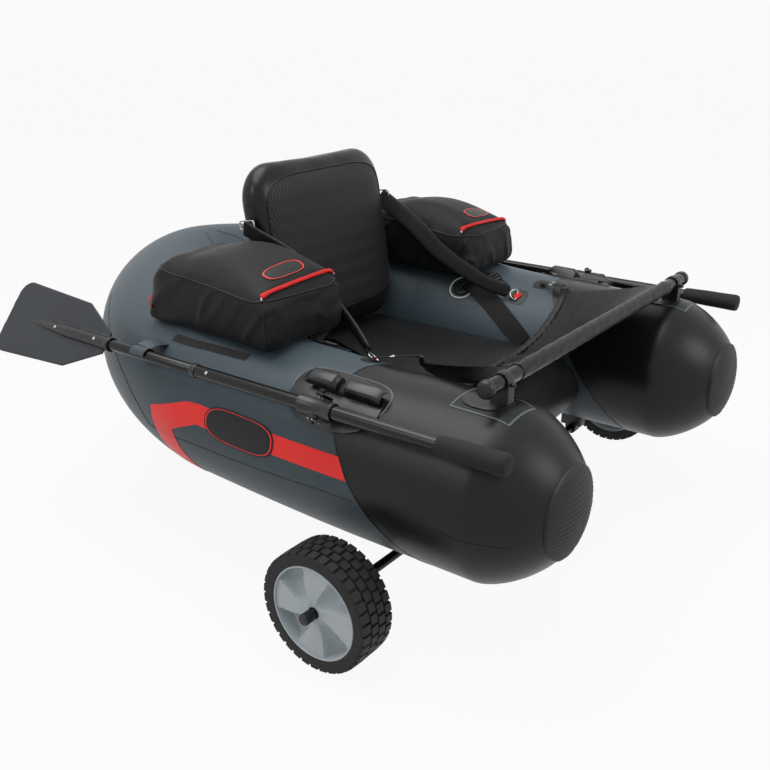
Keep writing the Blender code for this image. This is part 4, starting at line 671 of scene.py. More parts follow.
def padded_swell(piece, pressure, cap, even=12):
    """Blows a pad up from its own shape with cloth, and limits how far any point may move."""
    only(piece)
    remesh = piece.modifiers.new("voxels", "REMESH")
    remesh.mode = "VOXEL"
    remesh.voxel_size = VOXEL
    bpy.ops.object.modifier_apply(modifier="voxels")
    for vert, shift in zip(piece.data.vertices, swollen_shifts(piece, pressure, cap, even)):
        vert.co += shift
    smooth = piece.modifiers.new("smooth", "SMOOTH")
    smooth.factor = 0.5
    smooth.iterations = 4
    bpy.ops.object.modifier_apply(modifier="smooth")
    finer = piece.modifiers.new("finer", "SUBSURF")
    finer.levels = finer.render_levels = 1
    bpy.ops.object.modifier_apply(modifier="finer")


def in_back_frame(x, depth, height):
    """A point given across, behind the hinge line and up the leaning backrest."""
    return Vector((x, BACK_HINGE.y + depth * math.cos(BACK_LEAN) + height * math.sin(BACK_LEAN),
                   BACK_HINGE.z - depth * math.sin(BACK_LEAN) + height * math.cos(BACK_LEAN)))


BACK_HEIGHT, BACK_HALF, BACK_THICK, BACK_CORNER = 0.465, 0.262, 0.107, 0.095
BACK_SIDE_ROOM, BACK_FACE_ROOM, BACK_WAIST, BACK_EDGE_SHARE, BACK_STEPS = 0.006, 0.004, 0.004, 0.34, 48
back_rings = []
for i in range(BACK_STEPS + 1):
    share = i / BACK_STEPS
    height = BACK_HEIGHT * (1 - math.cos(math.pi * share)) / 2
    ease = min(1.0, min(height, BACK_HEIGHT - height) / BACK_CORNER)
    swell = math.sqrt(max(0.0, 1 - (1 - ease) ** 2))
    half = ((BACK_HALF - BACK_CORNER * (1 - swell) * 0.90)
            * (1 - BACK_WAIST / BACK_HALF * math.sin(math.pi * share)) - BACK_SIDE_ROOM)
    depth = BACK_THICK / 2 * (BACK_EDGE_SHARE + (1 - BACK_EDGE_SHARE) * swell) - BACK_FACE_ROOM
    back_rings.append([in_back_frame(u, BACK_THICK / 2 + v, height) for u, v in superellipse(72, half, depth, 3.2)])
pad = lofted("backrest_pad", back_rings)
padded_swell(pad, 4.0, 0.009, even=36)
back = finished("backrest_pad", "backrest", side_leather, "pad_skin", 60)
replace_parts(back, "backrest")


# The backrest's trims: the stitched front panel with its welt, and on each side a round welded patch
# with a rectangular steel ring that takes the padded strap.

steel = coated("brushed_steel", (0.42, 0.42, 0.41), (0.30, 0.30, 0.30), 0.24, 60.0, 0.05, 1500.0)
steel.node_tree.nodes["Principled BSDF"].inputs["Metallic"].default_value = 1.0
SWAY_PITCH, SWAY, STITCH_PITCH, STITCH_POWER, STITCH_DEPTH, STITCH_RISE = 0.044, 1.9, 0.0205, 0.7, 0.50, 0.0018
quilt, tree, shader, _ = material("backrest_stitched_panel")
split = added(tree, "SeparateXYZ", Vector=tree.nodes.new("ShaderNodeTexCoord").outputs["Object"])
sway = maths(tree, "SINE", maths(tree, "MULTIPLY", split.outputs["Z"], math.tau / SWAY_PITCH))
wave = maths(tree, "ADD", maths(tree, "MULTIPLY", split.outputs["X"], math.tau / STITCH_PITCH),
             maths(tree, "MULTIPLY", sway, SWAY))
groove = maths(tree, "POWER", maths(tree, "ABSOLUTE", maths(tree, "SINE", wave)), STITCH_POWER)
dent = added(tree, "Bump", Strength=STITCH_DEPTH, Distance=STITCH_RISE, Height=groove)
# Painted shade and highlight: the panel's colour darkens down the stitched grooves, where the bump is low, and lightens
# on the raised waves between them.
groove_shade_tone = blended(tree, groove, (0.0050, 0.0050, 0.0054, 1), (0.0210, 0.0203, 0.0218, 1))
fill(tree, shader, Base_Color=groove_shade_tone, Normal=dent.outputs["Normal"], Roughness=0.50, Specular_IOR_Level=0.24)


def on_piece(piece, point, lift):
    """The nearest point on a piece's surface, raised by lift, with the surface's normal."""
    _, spot, normal, _ = piece.closest_point_on_mesh(point)
    return spot + normal * lift, normal


def rod(name, points, radius, closed=False):
    """A round rod, wire or piping along points, made a mesh."""
    curve = bpy.data.curves.new(name, "CURVE")
    curve.dimensions = "3D"
    curve.bevel_depth = radius
    curve.bevel_resolution = 2
    curve.use_fill_caps = True
    spline = curve.splines.new("POLY")
    spline.points.add(len(points) - 1)
    for spot, point in zip(spline.points, points):
        spot.co = (*point, 1)
    spline.use_cyclic_u = closed
    piece = bpy.data.objects.new(name, curve)
    bpy.context.scene.collection.objects.link(piece)
    only(piece)
    bpy.ops.object.convert(target="MESH")
    return bpy.context.object


def patch_on(name, piece, grid, lift, thickness):
    """A thin closed patch through a grid of points dropped on a piece's surface."""
    points = [on_piece(piece, point, lift) for row in grid for point in row]
    made = made_of(name, [spot for spot, normal in points], grid_faces(len(grid), len(grid[0])))
    face_out(made, points[len(points) // 2][1])
    mend(0.00005, outward=False)
    thickened(made, thickness)
    return made


def pill_grid(middle, across, along, half_across, half_along, power=3.0, rings=6, count=48, hole=0.0):
    """Points of a rounded plate round its middle, ring by ring, ready to be dropped on a surface."""
    grid = []
    for ring in range(rings + 1):
        reach = hole + (1 - hole) * ring / rings
        grid.append([Vector(middle) + Vector(across) * u * reach + Vector(along) * v * reach
                     for u, v in superellipse(count, half_across, half_along, power)]
                    + [Vector(middle) + Vector(across) * half_across * reach])
    return grid


PANEL_HALF, PANEL_LOW, PANEL_HIGH, PANEL_STEPS, PANEL_CORNERS, PANEL_SHOULDERS = 0.226, 0.060, 0.432, 24, 0.10, 0.14
grid = []
for i in range(2 * PANEL_STEPS + 1):
    v = i / PANEL_STEPS - 1
    row = []
    for k in range(2 * PANEL_STEPS + 1):
        u = k / PANEL_STEPS - 1
        height = (PANEL_LOW + PANEL_HIGH) / 2 + (PANEL_HIGH - PANEL_LOW) / 2 * v * (1 - PANEL_SHOULDERS * abs(u) ** 6)
        across = PANEL_HALF * u * (1 - PANEL_CORNERS * abs(v) ** 6)
        row.append(in_back_frame(across, -0.004 + 0.012 * abs(u) ** 8, height))
    grid.append(row)
patch_on("backrest_panel", back, grid, 0.0012, 0.0020)
finished("backrest_panel", "backrest", quilt, "pad_skin", 60)
edge = grid[0][:-1] + [row[-1] for row in grid[:-1]] + grid[-1][:0:-1] + [row[0] for row in grid[:0:-1]]
rod("backrest_welt", [on_piece(back, spot, 0.0014)[0] for spot in edge], 0.0019, closed=True)
finished("backrest_welt", "backrest", side_leather, "pad_skin", 60)
patch_spot = in_back_frame(BACK_HALF, 0.050, 0.338)
up_back = Vector((0, math.sin(BACK_LEAN), math.cos(BACK_LEAN)))
deep = Vector((0, math.cos(BACK_LEAN), -math.sin(BACK_LEAN)))
patch_on("strap_anchor_patch", back, pill_grid(patch_spot, deep, up_back, 0.031, 0.037, 2.0), 0.0014, 0.0024)
both_sides("strap_anchor_patch", "backrest", side_leather, "pad_skin", 45)
anchor_ring = [in_back_frame(BACK_HALF + 0.0070 - 0.05 * u, 0.0450 + u, 0.324 + v)
               for u, v in superellipse(36, 0.0250, 0.0105, 6.0)]
rod("strap_anchor_ring", anchor_ring, 0.0018, closed=True)
both_sides("strap_anchor_ring", "backrest", steel, "bright_steel", 60)


# Side bags: black nylon boxes strapped on the pontoons' crests, each under a stiff zipped lid panel.
# The shell is lofted, then blown up a little so that its sides wrinkle between the seams.

nylon = coated("bag_nylon", (0.0060, 0.0060, 0.0065), (0.0125, 0.0125, 0.0130), 0.56, 15.0, 0.62, 1300.0, 0.03, 0.16)
BAG_FRONT, BAG_BACK, BAG_IN, BAG_OUT, BAG_TALL, BAG_LOW_FRONT = -0.126, 0.276, 0.2623, 0.5243, 0.152, 0.122
BAG_MIDDLE, BAG_LEAN, BAG_TAIL_LEAN, BAG_END, BAG_INSET = (BAG_OUT + BAG_IN) / 2, 0.006, 0.055, 0.032, 0.003
BAG_BELLY, BAG_CROWN, BAG_FRONT_LIP, BAG_STEPS, BAG_ROOM = 0.024, 0.040, 0.012, 44, 0.0008
BAG_FLOOR = tube_height(BAG_FRONT) + tube_radius(BAG_FRONT) - 0.006
FOLD_HEIGHT, FOLD_REST, FOLD_SHARP = 0.0036, 0.30, 3.2


def bag_height(share):
    """Height of the bag's top over its floor, from its front edge (0) to its back (1)."""
    return BAG_LOW_FRONT + (BAG_TALL - BAG_LOW_FRONT) * math.sin(math.pi / 2 * share)


def clear_of_tube(point, y, room):
    """Pushes a point out of the pontoon's round section at y."""
    centre, reach = centre_at(y), tube_radius(y) + room
    out = Vector((point.x - centre.x, 0, point.z - centre.z))
    if out.length < reach:
        out.normalize()
        point.x, point.z = centre.x + out.x * reach, centre.z + out.z * reach


def bag_ring(share, pull, y):
    """One upright section of the bag: drawn in at the ends, crowned on top, leaning back at the front."""
    tall = bag_height(share)
    half = (BAG_OUT - BAG_IN) / 2 - BAG_END * 0.5 * pull - BAG_INSET
    ring = []
    for u, v in superellipse(64, half, tall / 2 - BAG_END * 0.5 * pull - BAG_INSET, 6.5):
        point = Vector((BAG_MIDDLE + u, y, BAG_FLOOR + tall / 2 + v))
        point.y += (BAG_LEAN * (1 - share) - BAG_TAIL_LEAN * share) * (point.z - BAG_FLOOR) / tall
        belly = max(0.0, 1 - ((point.z - BAG_FLOOR) / tall - 0.32) ** 2 / 0.46)
        point.y -= BAG_BELLY * belly * (1 - share) ** 4 * (1 - 0.25 * pull)
        if v > 0:
            arch = 0.40 + 0.60 * math.sin(math.pi * min(1.0, share + 0.12))
            point.z += BAG_CROWN * max(0.0, 1 - (u / half) ** 4) * (1 - pull) * arch * (1 - 0.30 * u / half)
            point.z += BAG_FRONT_LIP * (1 - u / half) / 2 * (1 - share) * (2 * v / tall) ** 2
        clear_of_tube(point, y, SKIN_ROOM)
        ring.append(point)
    return ring


bag_rings = []
for i in range(BAG_STEPS + 1):
    y = BAG_FRONT + BAG_INSET + (BAG_BACK - BAG_FRONT - 2 * BAG_INSET) * (i / BAG_STEPS)
    pull = max(0.0, 1 - min(y - BAG_FRONT, BAG_BACK - y) / BAG_END) ** 2.2
    share = (y - BAG_FRONT - BAG_END) / (BAG_BACK - BAG_FRONT - 2 * BAG_END)
    bag_rings.append(bag_ring(max(0.0, min(1.0, share)), pull, y))
bag = lofted("side_bag_shell", bag_rings)
padded_swell(bag, 3.0, 0.006)
outward = [(vert.co.copy(), vert.normal.copy()) for vert in bag.data.vertices]
for vert, (spot, normal) in zip(bag.data.vertices, outward):
    wall = max(0.0, 1 - 1.4 * normal.z ** 2)
    crossing = noise.noise(Vector((spot.x * 11, spot.y * 15 + spot.z * 9, spot.z * 7 + spot.y * 4)))
    vert.co = spot + normal * FOLD_HEIGHT * wall * (max(0.0, 1 - FOLD_SHARP * abs(crossing)) - FOLD_REST)
for vert in bag.data.vertices:
    if vert.co.y < BEND_Y:
        clear_of_tube(vert.co, vert.co.y, BAG_ROOM)
bag_left, bag_right = both_sides("side_bag_shell", "hull", nylon, "bag_nylon", 50, "side_bag")


# The bags' trims: piping round the lid and down the front corners, a red webbing band with knotted
# ends along the front top edge, a bare pill badge on the lid, a red side tab and a zip slider.

piping_skin = coated("bag_piping", (0.008, 0.008, 0.0085), (0.030, 0.030, 0.031), 0.36, 60.0, 0.10)
thread = coated("white_thread_ends", (0.62, 0.60, 0.58), (0.45, 0.44, 0.42), 0.80, 90.0, 0.30)
webbing_group, web_in, web_out = effect_group(
    "webbing_weave",
    [("Colour", "Color", (0.02, 0.02, 0.02, 1)), ("Dark colour", "Color", (0.01, 0.01, 0.01, 1)),
     ("Rib pitch", "Float", 0.0016), ("Cord pitch", "Float", 0.0030)],
    [("Colour", "Color"), ("Height", "Float")])
WEAVE_REACH, RIB_SHARE, WEAVE_RISE, WEAVE_GLOSS = 1.5, 0.5, 0.0005, 0.20
tree, given = webbing_group, web_in.outputs
flat = added(tree, "SeparateXYZ", Vector=tree.nodes.new("ShaderNodeTexCoord").outputs["UV"])
turns = [maths(tree, "MULTIPLY", flat.outputs[axis], math.tau) for axis in ("Y", "X")]
rib = maths(tree, "SINE", maths(tree, "DIVIDE", turns[0], given["Rib pitch"]))
cord = maths(tree, "SINE", maths(tree, "DIVIDE", turns[1], given["Cord pitch"]))
weave = maths(tree, "ADD", maths(tree, "MULTIPLY", rib, cord), maths(tree, "MULTIPLY", rib, RIB_SHARE))
# Painted shade: the colour darkens to the dark colour where the weave's relief is low and stays light on its raised
# ribs.
shade = added(tree, "MapRange", Value=weave, From_Min=-WEAVE_REACH, From_Max=WEAVE_REACH)
fill(tree, web_out, Height=weave,
     Colour=blended(tree, shade.outputs["Result"], given["Dark colour"], given["Colour"]))


def woven(name, colour, dark, roughness, rib=0.0016, cord=0.0030, depth=0.35):
    """A webbing or narrow fabric whose ribs follow its own length."""
    made, tree, shader, weave = material(name, webbing_group)
    fill(tree, weave, Colour=(*colour, 1), Dark_colour=(*dark, 1), Rib_pitch=rib, Cord_pitch=cord)
    bump = added(tree, "Bump", Strength=depth, Distance=WEAVE_RISE, Height=weave.outputs["Height"])
    fill(tree, shader, Base_Color=weave.outputs["Colour"], Normal=bump.outputs["Normal"], Roughness=roughness,
         Specular_IOR_Level=WEAVE_GLOSS)
    return made


def flat_map(piece, across, along):
    """A UV map in metres from each point's place in its row and each row's place along the cloth."""
    cloth = piece.data.uv_layers.new(name="cloth")
    for loop in piece.data.loops:
        row, k = divmod(loop.vertex_index, len(across))
        cloth.data[loop.index].uv = (across[k], along[row])


def band(name, points, facings, width, thickness, swell=None, power=5.0, count=16, broad=None):
    """A strap along points, its broad side looking along facings, with a UV map in metres along its length."""
    points = [Vector(p) for p in points]
    section = superellipse(count, width / 2, thickness / 2, power)
    rings, lengths, length = [], [], 0.0
    for i, point in enumerate(points):
        ahead = (points[min(i + 1, len(points) - 1)] - points[max(i - 1, 0)]).normalized()
        facing = Vector(facings[i] if isinstance(facings, list) else facings)
        across = ahead.cross(facing).normalized()
        normal = across.cross(ahead).normalized()
        grow = swell[i] if swell else 1.0
        wide = broad[i] if broad else 1.0
        length += (point - points[i - 1]).length if i else 0.0
        rings.append([point + across * u * wide + normal * v * grow for u, v in section])
        lengths.append(length)
    piece = lofted(name, rings)
    flat_map(piece, [u for u, v in section], lengths)
    return piece


red_web = woven("red_webbing", (0.72, 0.020, 0.018), (0.42, 0.010, 0.010), 0.50, 0.0018, 0.0024)
moulded = coated("black_moulded_plastic", (0.0075, 0.0075, 0.0080), (0.015, 0.015, 0.0155), 0.34, 40.0, 0.04,
                 1800.0, 0.0, 0.36)
LID_POWER, LID_DROP, CORNER_STEPS, BAND_STEPS = 2 / 0.30, 0.012, 14, 40

lid = []
for u, v in superellipse(97, 1, 1, LID_POWER):
    share = (v + 1) / 2
    y = BAG_FRONT + 0.004 + share * (BAG_BACK - BAG_FRONT - 0.008 - BAG_TAIL_LEAN) + BAG_LEAN * (1 - share)
    spot = Vector((BAG_MIDDLE + u * ((BAG_OUT - BAG_IN) / 2 - BAG_INSET), y, BAG_FLOOR + bag_height(share) - LID_DROP))
    lid.append(on_piece(bag_left, spot, 0.0006)[0])
rod("bag_lid_piping", lid, 0.0021, closed=True)
both_sides("bag_lid_piping", "hull", piping_skin, "bag_nylon", 60)
for where, x in (("outer", BAG_OUT - 0.010), ("inner", BAG_IN + 0.010)):
    corner = []
    for i in range(CORNER_STEPS + 1):
        spot = Vector((x, BAG_FRONT + BAG_INSET + BAG_LEAN * i / CORNER_STEPS,
                       BAG_FLOOR + 0.018 + (BAG_LOW_FRONT - 0.034) * i / CORNER_STEPS))
        corner.append(on_piece(bag_left, spot, 0.0004)[0])
    rod("bag_corner_piping", corner, 0.0016)
    both_sides("bag_corner_piping_" + where, "hull", piping_skin, "bag_nylon", 60)

edge, facings = [], []
for i in range(BAND_STEPS + 1):
    share = i / BAND_STEPS
    spot = Vector((BAG_IN + 0.006 + (BAG_OUT - BAG_IN - 0.020) * share, BAG_FRONT + 0.010 + BAG_LEAN,
                   BAG_FLOOR + BAG_LOW_FRONT + 0.018 - 0.008 * share))
    place, normal = on_piece(bag_left, spot, 0.0034)
    edge.append(place)
    facings.append(normal)
from_end = [min(i, BAND_STEPS - i) for i in range(BAND_STEPS + 1)]
swell = [1.0 + 1.2 * max(0.0, 1 - i / 5.0) for i in from_end]
broad = [0.85 + 0.65 * max(0.0, 1 - i / 4.0) - 0.35 * max(0.0, 1 - i / 1.5) for i in from_end]
band("bag_red_band", edge, facings, 0.0105, 0.0048, swell, 2.6, 16, broad)
both_sides("bag_red_band", "hull", red_web, "red_tab", 50)
for where, spot, way in (("outer", edge[-1], 1), ("inner", edge[0], -1)):
    fray = [spot + Vector((way * 0.0012 * k, -0.0010 * k, -0.00032 * k * k)) for k in range(5)]
    rod("bag_band_thread", fray, 0.0019)
    both_sides("bag_band_thread_" + where, "hull", thread, "red_tab", 60)

badge_spot = Vector((BAG_MIDDLE + 0.006, BAG_FRONT + 0.056, BAG_FLOOR + BAG_LOW_FRONT + 0.024))
for name, half_across, half_along, lift, skin, hole in (
        ("bag_badge", 0.0580, 0.0225, 0.0012, badge_black, 0.0),
        ("bag_badge_border", 0.0560, 0.0205, 0.0017, red_print, 0.94)):
    plate = pill_grid(badge_spot, (1, 0, 0), (0, 1, 0), half_across, half_along, hole=hole)
    patch_on(name, bag_left, plate, lift, 0.0012)
    both_sides(name, "hull", skin, "bag_nylon", 40)

tab_spot = Vector((BAG_OUT + 0.004, BAG_BACK - 0.040, BAG_FLOOR + 0.060))
place, normal = on_piece(bag_left, tab_spot, 0.0010)
loop = [place + normal * out + Vector((0, 0, up))
        for out, up in ((0, 0.016), (0.0040, 0.008), (0.0065, 0), (0.0040, -0.008), (0, -0.016))]
band("bag_side_tab", loop, normal, 0.0110, 0.0016, None, 6.0)
both_sides("bag_side_tab", "hull", red_web, "red_tab", 50)

for label in ("left", "right"):
    low, high = (Vector(corner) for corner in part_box("zip_slider_" + label))
    middle = (low + high) / 2
    bpy.ops.mesh.primitive_cube_add(size=1, location=(middle.x, middle.y, high.z - 0.0050))
    bpy.ops.transform.resize(value=(0.0100, 0.0040, 0.0090))
    bpy.ops.object.mode_set(mode="EDIT")
    bpy.ops.mesh.bevel(offset=0.0011, segments=3, affect="EDGES")
    bpy.ops.object.mode_set(mode="OBJECT")
    finished("zip_slider_body_" + label, "zip_" + label, moulded, "red_tab", 40)
    hang = [Vector((middle.x, middle.y - 0.0003, high.z - 0.0075)),
            Vector((middle.x, middle.y - 0.0012, high.z - 0.0150)),
            Vector((middle.x, middle.y - 0.0008, low.z + 0.0010))]
    band("zip_pull", hang, (0, -1, 0), 0.0062, 0.0022, None, 5.0)
    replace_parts(finished("zip_pull_" + label, "zip_" + label, piping_skin, "red_tab", 50), "zip_slider_" + label)


# A dark strip laid on the tube along each bag's outer foot, and the buckled strap that ties the bag's front down.
# The strap leaves the bag's front inner corner, passes a ladder buckle and lies on down the tube.

black_web = woven("black_webbing", (0.013, 0.013, 0.014), (0.006, 0.006, 0.0065), 0.62)
foot_strip_skin = coated("bag_foot_dark_strip", (0.010, 0.010, 0.011), (0.020, 0.020, 0.021), 0.90, 220.0, 0.60, 2200.0, 0.2)
BUCKLE_LIFT, BUCKLE_HALF = 0.0062, 0.0135


def skin_out(run, degrees):
    """The way straight out of the left skin there, a tenth of a metre long."""
    return skin_at(run, degrees, 0.1) - skin_at(run, degrees)


# A dark sheet along the bag's outer foot, a few degrees outboard on the tube.
strip = [[between([(0.187, 33 + k), (-0.060, 26 + k)], i / 24) for k in (0, 2, 4, 6)] for i in range(25)]
laid_sheet("bag_foot_strip", strip, 0.0012, 0.0016, foot_strip_skin, "webbing")
tie = [Vector((BAG_IN + 0.030, BAG_FRONT + 0.012, BAG_FLOOR + 0.014))]
tie += [skin_at(-0.130 - 0.007 * i, -18 - 0.9 * i, 0.0028) for i in range(12)]
band("bag_tie_strap", tie, skin_out(-0.16, -20), 0.0200, 0.0022)
both_sides("bag_tie_strap", "hull", black_web, "webbing", 50)
out = skin_out(-0.165, -22.5).normalized()
along = (skin_at(-0.185, -25) - skin_at(-0.145, -20)).normalized()
across = out.cross(along).normalized()
for k in range(3):
    spot = skin_at(-0.150 - 0.011 * k, -20.6 - 1.4 * k, BUCKLE_LIFT)
    bar = [spot + across * u + out * rise
           for u, rise in ((-BUCKLE_HALF, 0), (-0.0110, 0.0012), (0.0110, 0.0012), (BUCKLE_HALF, 0))]
    rod("ladder_buckle_bar", bar, 0.0018)
    both_sides("ladder_buckle_bar_" + str(k + 1), "hull", moulded, "moulded_plastic", 60)
middle = skin_at(-0.161, -22.0, BUCKLE_LIFT)
rod("ladder_buckle_frame", [middle + across * u + along * v for u, v in superellipse(32, BUCKLE_HALF, 0.0150, 6.0)],
    0.0022, closed=True)
both_sides("ladder_buckle_frame", "hull", moulded, "moulded_plastic", 60)


# The lap apron: thin coated mesh hung slack from the hemmed bar to two corner straps on the crests,
# sagging between the tubes, with a gathered hem at the seat end.

APRON_HEM_HALF, APRON_REAR_HALF, APRON_FRONT_Y, APRON_REAR_Y, BAR_Z = 0.374, 0.346, -0.649, -0.386, 0.578
APRON_STEPS, APRON_FLAT, ABOVE_APRON, SLEEVE_R, SLEEVE_SIDES, HEM_STEPS = 48, (0.72, 0.34), 0.9, 0.0172, 40, 60
mesh_cloth = woven("apron_mesh_fabric", (0.0085, 0.0085, 0.0090), (0.0035, 0.0035, 0.0038), 0.36, 0.0032, 0.0032, 0.5)
hem_cloth = woven("apron_hem_fabric", (0.014, 0.0142, 0.0148), (0.008, 0.008, 0.0085), 0.40, 0.0022, 0.0022, 0.2)
apron_node = nodes["apron"]


def apron_top(x, y):
    """The point of the CAD apron's upper side at (x, y), or None beside it."""
    place = apron_node.matrix_world.inverted()
    hit, spot, _, _ = apron_node.ray_cast(place @ Vector((x, y, ABOVE_APRON)), place.to_3x3() @ Vector((0, 0, -1)))
    return apron_node.matrix_world @ spot if hit else None


rows = []
for i in range(APRON_STEPS + 1):
    share = i / APRON_STEPS
    y = APRON_FRONT_Y + 0.020 + (APRON_REAR_Y - APRON_FRONT_Y - 0.026) * share
    half = 0.366 + (APRON_REAR_HALF - 0.376) * share
    row = []
    for k in range(2 * APRON_STEPS + 1):
        across = k / APRON_STEPS - 1
        spot = apron_top(across * half, y)
        if spot is None:
            spot = row[-1].copy() if row else Vector((across * half, y, BAR_Z - 0.02))
            spot.x, spot.y = across * half, y
        pull = 1 - across * across
        fold = 0.0030 * math.sin(9 * across + 3.5 * share * across) * share * pull
        fold += 0.0022 * math.sin(23 * across + 2.0 * math.sin(5 * share)) * share ** 2 * pull
        spot.z += fold
        row.append(spot)
    rows.append(row)
cloth = made_of("apron_cloth", [spot for row in rows for spot in row], grid_faces(len(rows), len(rows[0])))
face_out(cloth, Vector((0, 0, 1)))
flat_map(cloth, [APRON_FLAT[0] * k / (2 * APRON_STEPS) for k in range(2 * APRON_STEPS + 1)],
         [APRON_FLAT[1] * i / APRON_STEPS for i in range(APRON_STEPS + 1)])
thickened(cloth, 0.0016)
cloth = finished("apron_cloth", "hull", mesh_cloth, "webbing", 60)

sleeve = []
for i in range(65):
    x = APRON_HEM_HALF * (i / 32 - 1)
    ring = []
    for k in range(SLEEVE_SIDES):
        turn = math.tau * k / SLEEVE_SIDES
        reach = SLEEVE_R + (0.0006 * math.sin(5 * turn + 90 * x) + 0.0005 * math.sin(170 * x + 2 * turn))
        ring.append(Vector((x, APRON_FRONT_Y + reach * math.cos(turn), BAR_Z + reach * math.sin(turn))))
    sleeve.append(ring)
lofted("apron_hem_sleeve", sleeve)
finished("apron_hem_sleeve", "hull", hem_cloth, "webbing", 50)
gather = []
for i in range(2 * HEM_STEPS + 1):
    across = i / HEM_STEPS - 1
    x = across * (APRON_REAR_HALF - 0.006)
    spot = apron_top(x, APRON_REAR_Y - 0.010) or Vector((x, APRON_REAR_Y - 0.010, 0.535))
    spot += Vector((0, 0, 0.0016 + 0.0020 * math.sin(88 * across) * (1 - across ** 8)))
    gather.append(spot)
band("apron_gathered_hem", gather, (0, 0, 1), 0.0180, 0.0046, None, 3.0, 12)
finished("apron_gathered_hem", "hull", hem_cloth, "webbing", 60)
knot = Vector((APRON_REAR_HALF - 0.004, APRON_REAR_Y - 0.003, 0.0))
knot.z = (apron_top(knot.x - 0.006, knot.y - 0.008) or Vector((0, 0, 0.541))).z + 0.004
foot = skin_at(-0.296, -14.7, 0.0045)
route = [knot + (foot - knot) * (k / 10) + Vector((0, 0, 0.0016 * math.sin(math.pi * k / 10))) for k in range(11)]
band("apron_corner_strap", route, skin_out(-0.32, -14), 0.0150, 0.0024)
both_sides("apron_corner_strap", "hull", black_web, "webbing", 50)
middle = knot + (foot - knot) * 0.52
lie = (foot - knot).normalized()
rise = skin_out(-0.32, -14).normalized()
wide = lie.cross(rise).normalized()
ring = [middle + wide * u + lie * v + rise * 0.0020 for u, v in superellipse(28, 0.0105, 0.0065, 3.0)]
rod("apron_strap_ring", ring, 0.0013, closed=True)
both_sides("apron_strap_ring", "hull", steel, "bright_steel", 60)
laid_pill("apron_strap_patch", 0.020, 7.0, 0.0009, 0.0014, black_skin, 0, (-0.296, -14.7))
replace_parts(cloth, "apron")


# The stripper crossbar: a black coated aluminium tube with rounded plastic end plugs, held on each
# crest by a moulded saddle with a screwed cap.

SAME_SPOT = 0.00002


def lathe(name, profile, origin, axis, steps=48):
    """A turned part: profile pairs of radius and height spun round axis through origin."""
    axis = Vector(axis).normalized()
    side = axis.orthogonal().normalized()
    made_of(name, [Vector(origin) + side * reach + axis * height for reach, height in profile], [],
            [(i, i + 1) for i in range(len(profile) - 1)])
    bpy.ops.object.mode_set(mode="EDIT")
    bpy.ops.mesh.select_all(action="SELECT")
    bpy.ops.mesh.spin(steps=steps, angle=math.tau, center=origin, axis=axis)
    bpy.ops.object.mode_set(mode="OBJECT")
    mend(SAME_SPOT)


def refined(name, node, body, skin, slot, bevel, segments, angle, smooth):
    """Both sides' copies of a CAD node, merged and bevelled, finished and put in the node's place."""
    for label in ("left", "right"):
        source = nodes[node + "_" + label]
        piece = bpy.data.objects.new(name, source.data.copy())
        bpy.context.scene.collection.objects.link(piece)
        piece.matrix_world = source.matrix_world
        only(piece)
        bpy.ops.object.transform_apply(location=True, rotation=True, scale=True)
        bpy.ops.object.mode_set(mode="EDIT")
        bpy.ops.mesh.select_all(action="SELECT")
        bpy.ops.mesh.remove_doubles(threshold=SAME_SPOT)
        bpy.ops.mesh.tris_convert_to_quads(face_threshold=math.radians(3), shape_threshold=math.radians(60))
        bpy.ops.mesh.normals_make_consistent(inside=False)
        bpy.ops.object.mode_set(mode="OBJECT")
        edge = piece.modifiers.new("edges", "BEVEL")
        edge.width = bevel
        edge.segments = segments
        edge.limit_method = "ANGLE"
        edge.angle_limit = math.radians(angle)
        edge.use_clamp_overlap = True
        bpy.ops.object.modifier_apply(modifier="edges")
        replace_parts(finished(name + "_" + label, body_at(body, label), skin, slot, smooth), node + "_" + label)


tube_paint = coated("black_coated_tube", (0.0045, 0.0045, 0.0050), (0.0075, 0.0075, 0.0080), 0.17, 30.0, 0.03,
                    2400.0, 0.0, 0.30)
BAR_POINT, X = Vector((0, APRON_FRONT_Y, BAR_Z)), Vector((1, 0, 0))
lathe("crossbar_tube", [(0, -0.482), (0.0140, -0.482), (0.0155, -0.4805), (0.0155, 0.4805), (0.0140, 0.482),
                        (0, 0.482)], BAR_POINT, X, 40)
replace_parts(finished("crossbar", "hull", tube_paint, "coated_tube", 40), "crossbar_tube")
lathe("bar_plug", [(0, 0.4795), (0.0166, 0.4795), (0.0182, 0.4810), (0.0185, 0.4830), (0.0185, 0.4900),
                   (0.0181, 0.4925), (0.0168, 0.4955), (0.0140, 0.4975), (0.0090, 0.4983), (0, 0.4984)],
      BAR_POINT, X, 40)
both_sides("bar_plug_body", "hull", moulded, "moulded_plastic", 40, "bar_plug")
refined("bar_clamp_body", "bar_clamp", "hull", moulded, "moulded_plastic", 0.0022, 3, 35, 35)
for k, shift in enumerate((-0.0240, 0.0240)):
    lathe("clamp_screw", [(0, 0.0040), (0.0030, 0.0040), (0.0048, 0.0030), (0.0052, 0.0008), (0.0052, -0.0030),
                          (0, -0.0030)], (TUBE_X, APRON_FRONT_Y + shift, BAR_Z - 0.0040), (0, 0, 1), 24)
    both_sides("clamp_screw_" + str(k + 1), "hull", moulded, "bright_steel", 40)


# The padded backrest straps, their hull rings, and the flat belts lying over the valves.
# Each strap runs from the pad's side over the crest to a steel D-ring sewn to a round welded patch.

pad_web = woven("padded_strap_fabric", (0.0085, 0.0085, 0.0090), (0.0035, 0.0035, 0.0038), 0.60, 0.0020, 0.0020, 0.45)
STRAP_HALF_WIDTH, STRAP_LIE, STRAP_STEPS, STRAP_ENDS = 0.023, 0.262 + 0.0106, 60, (4, 54)
STRAP_FACING = Vector((-0.94, -0.10, 0.33))


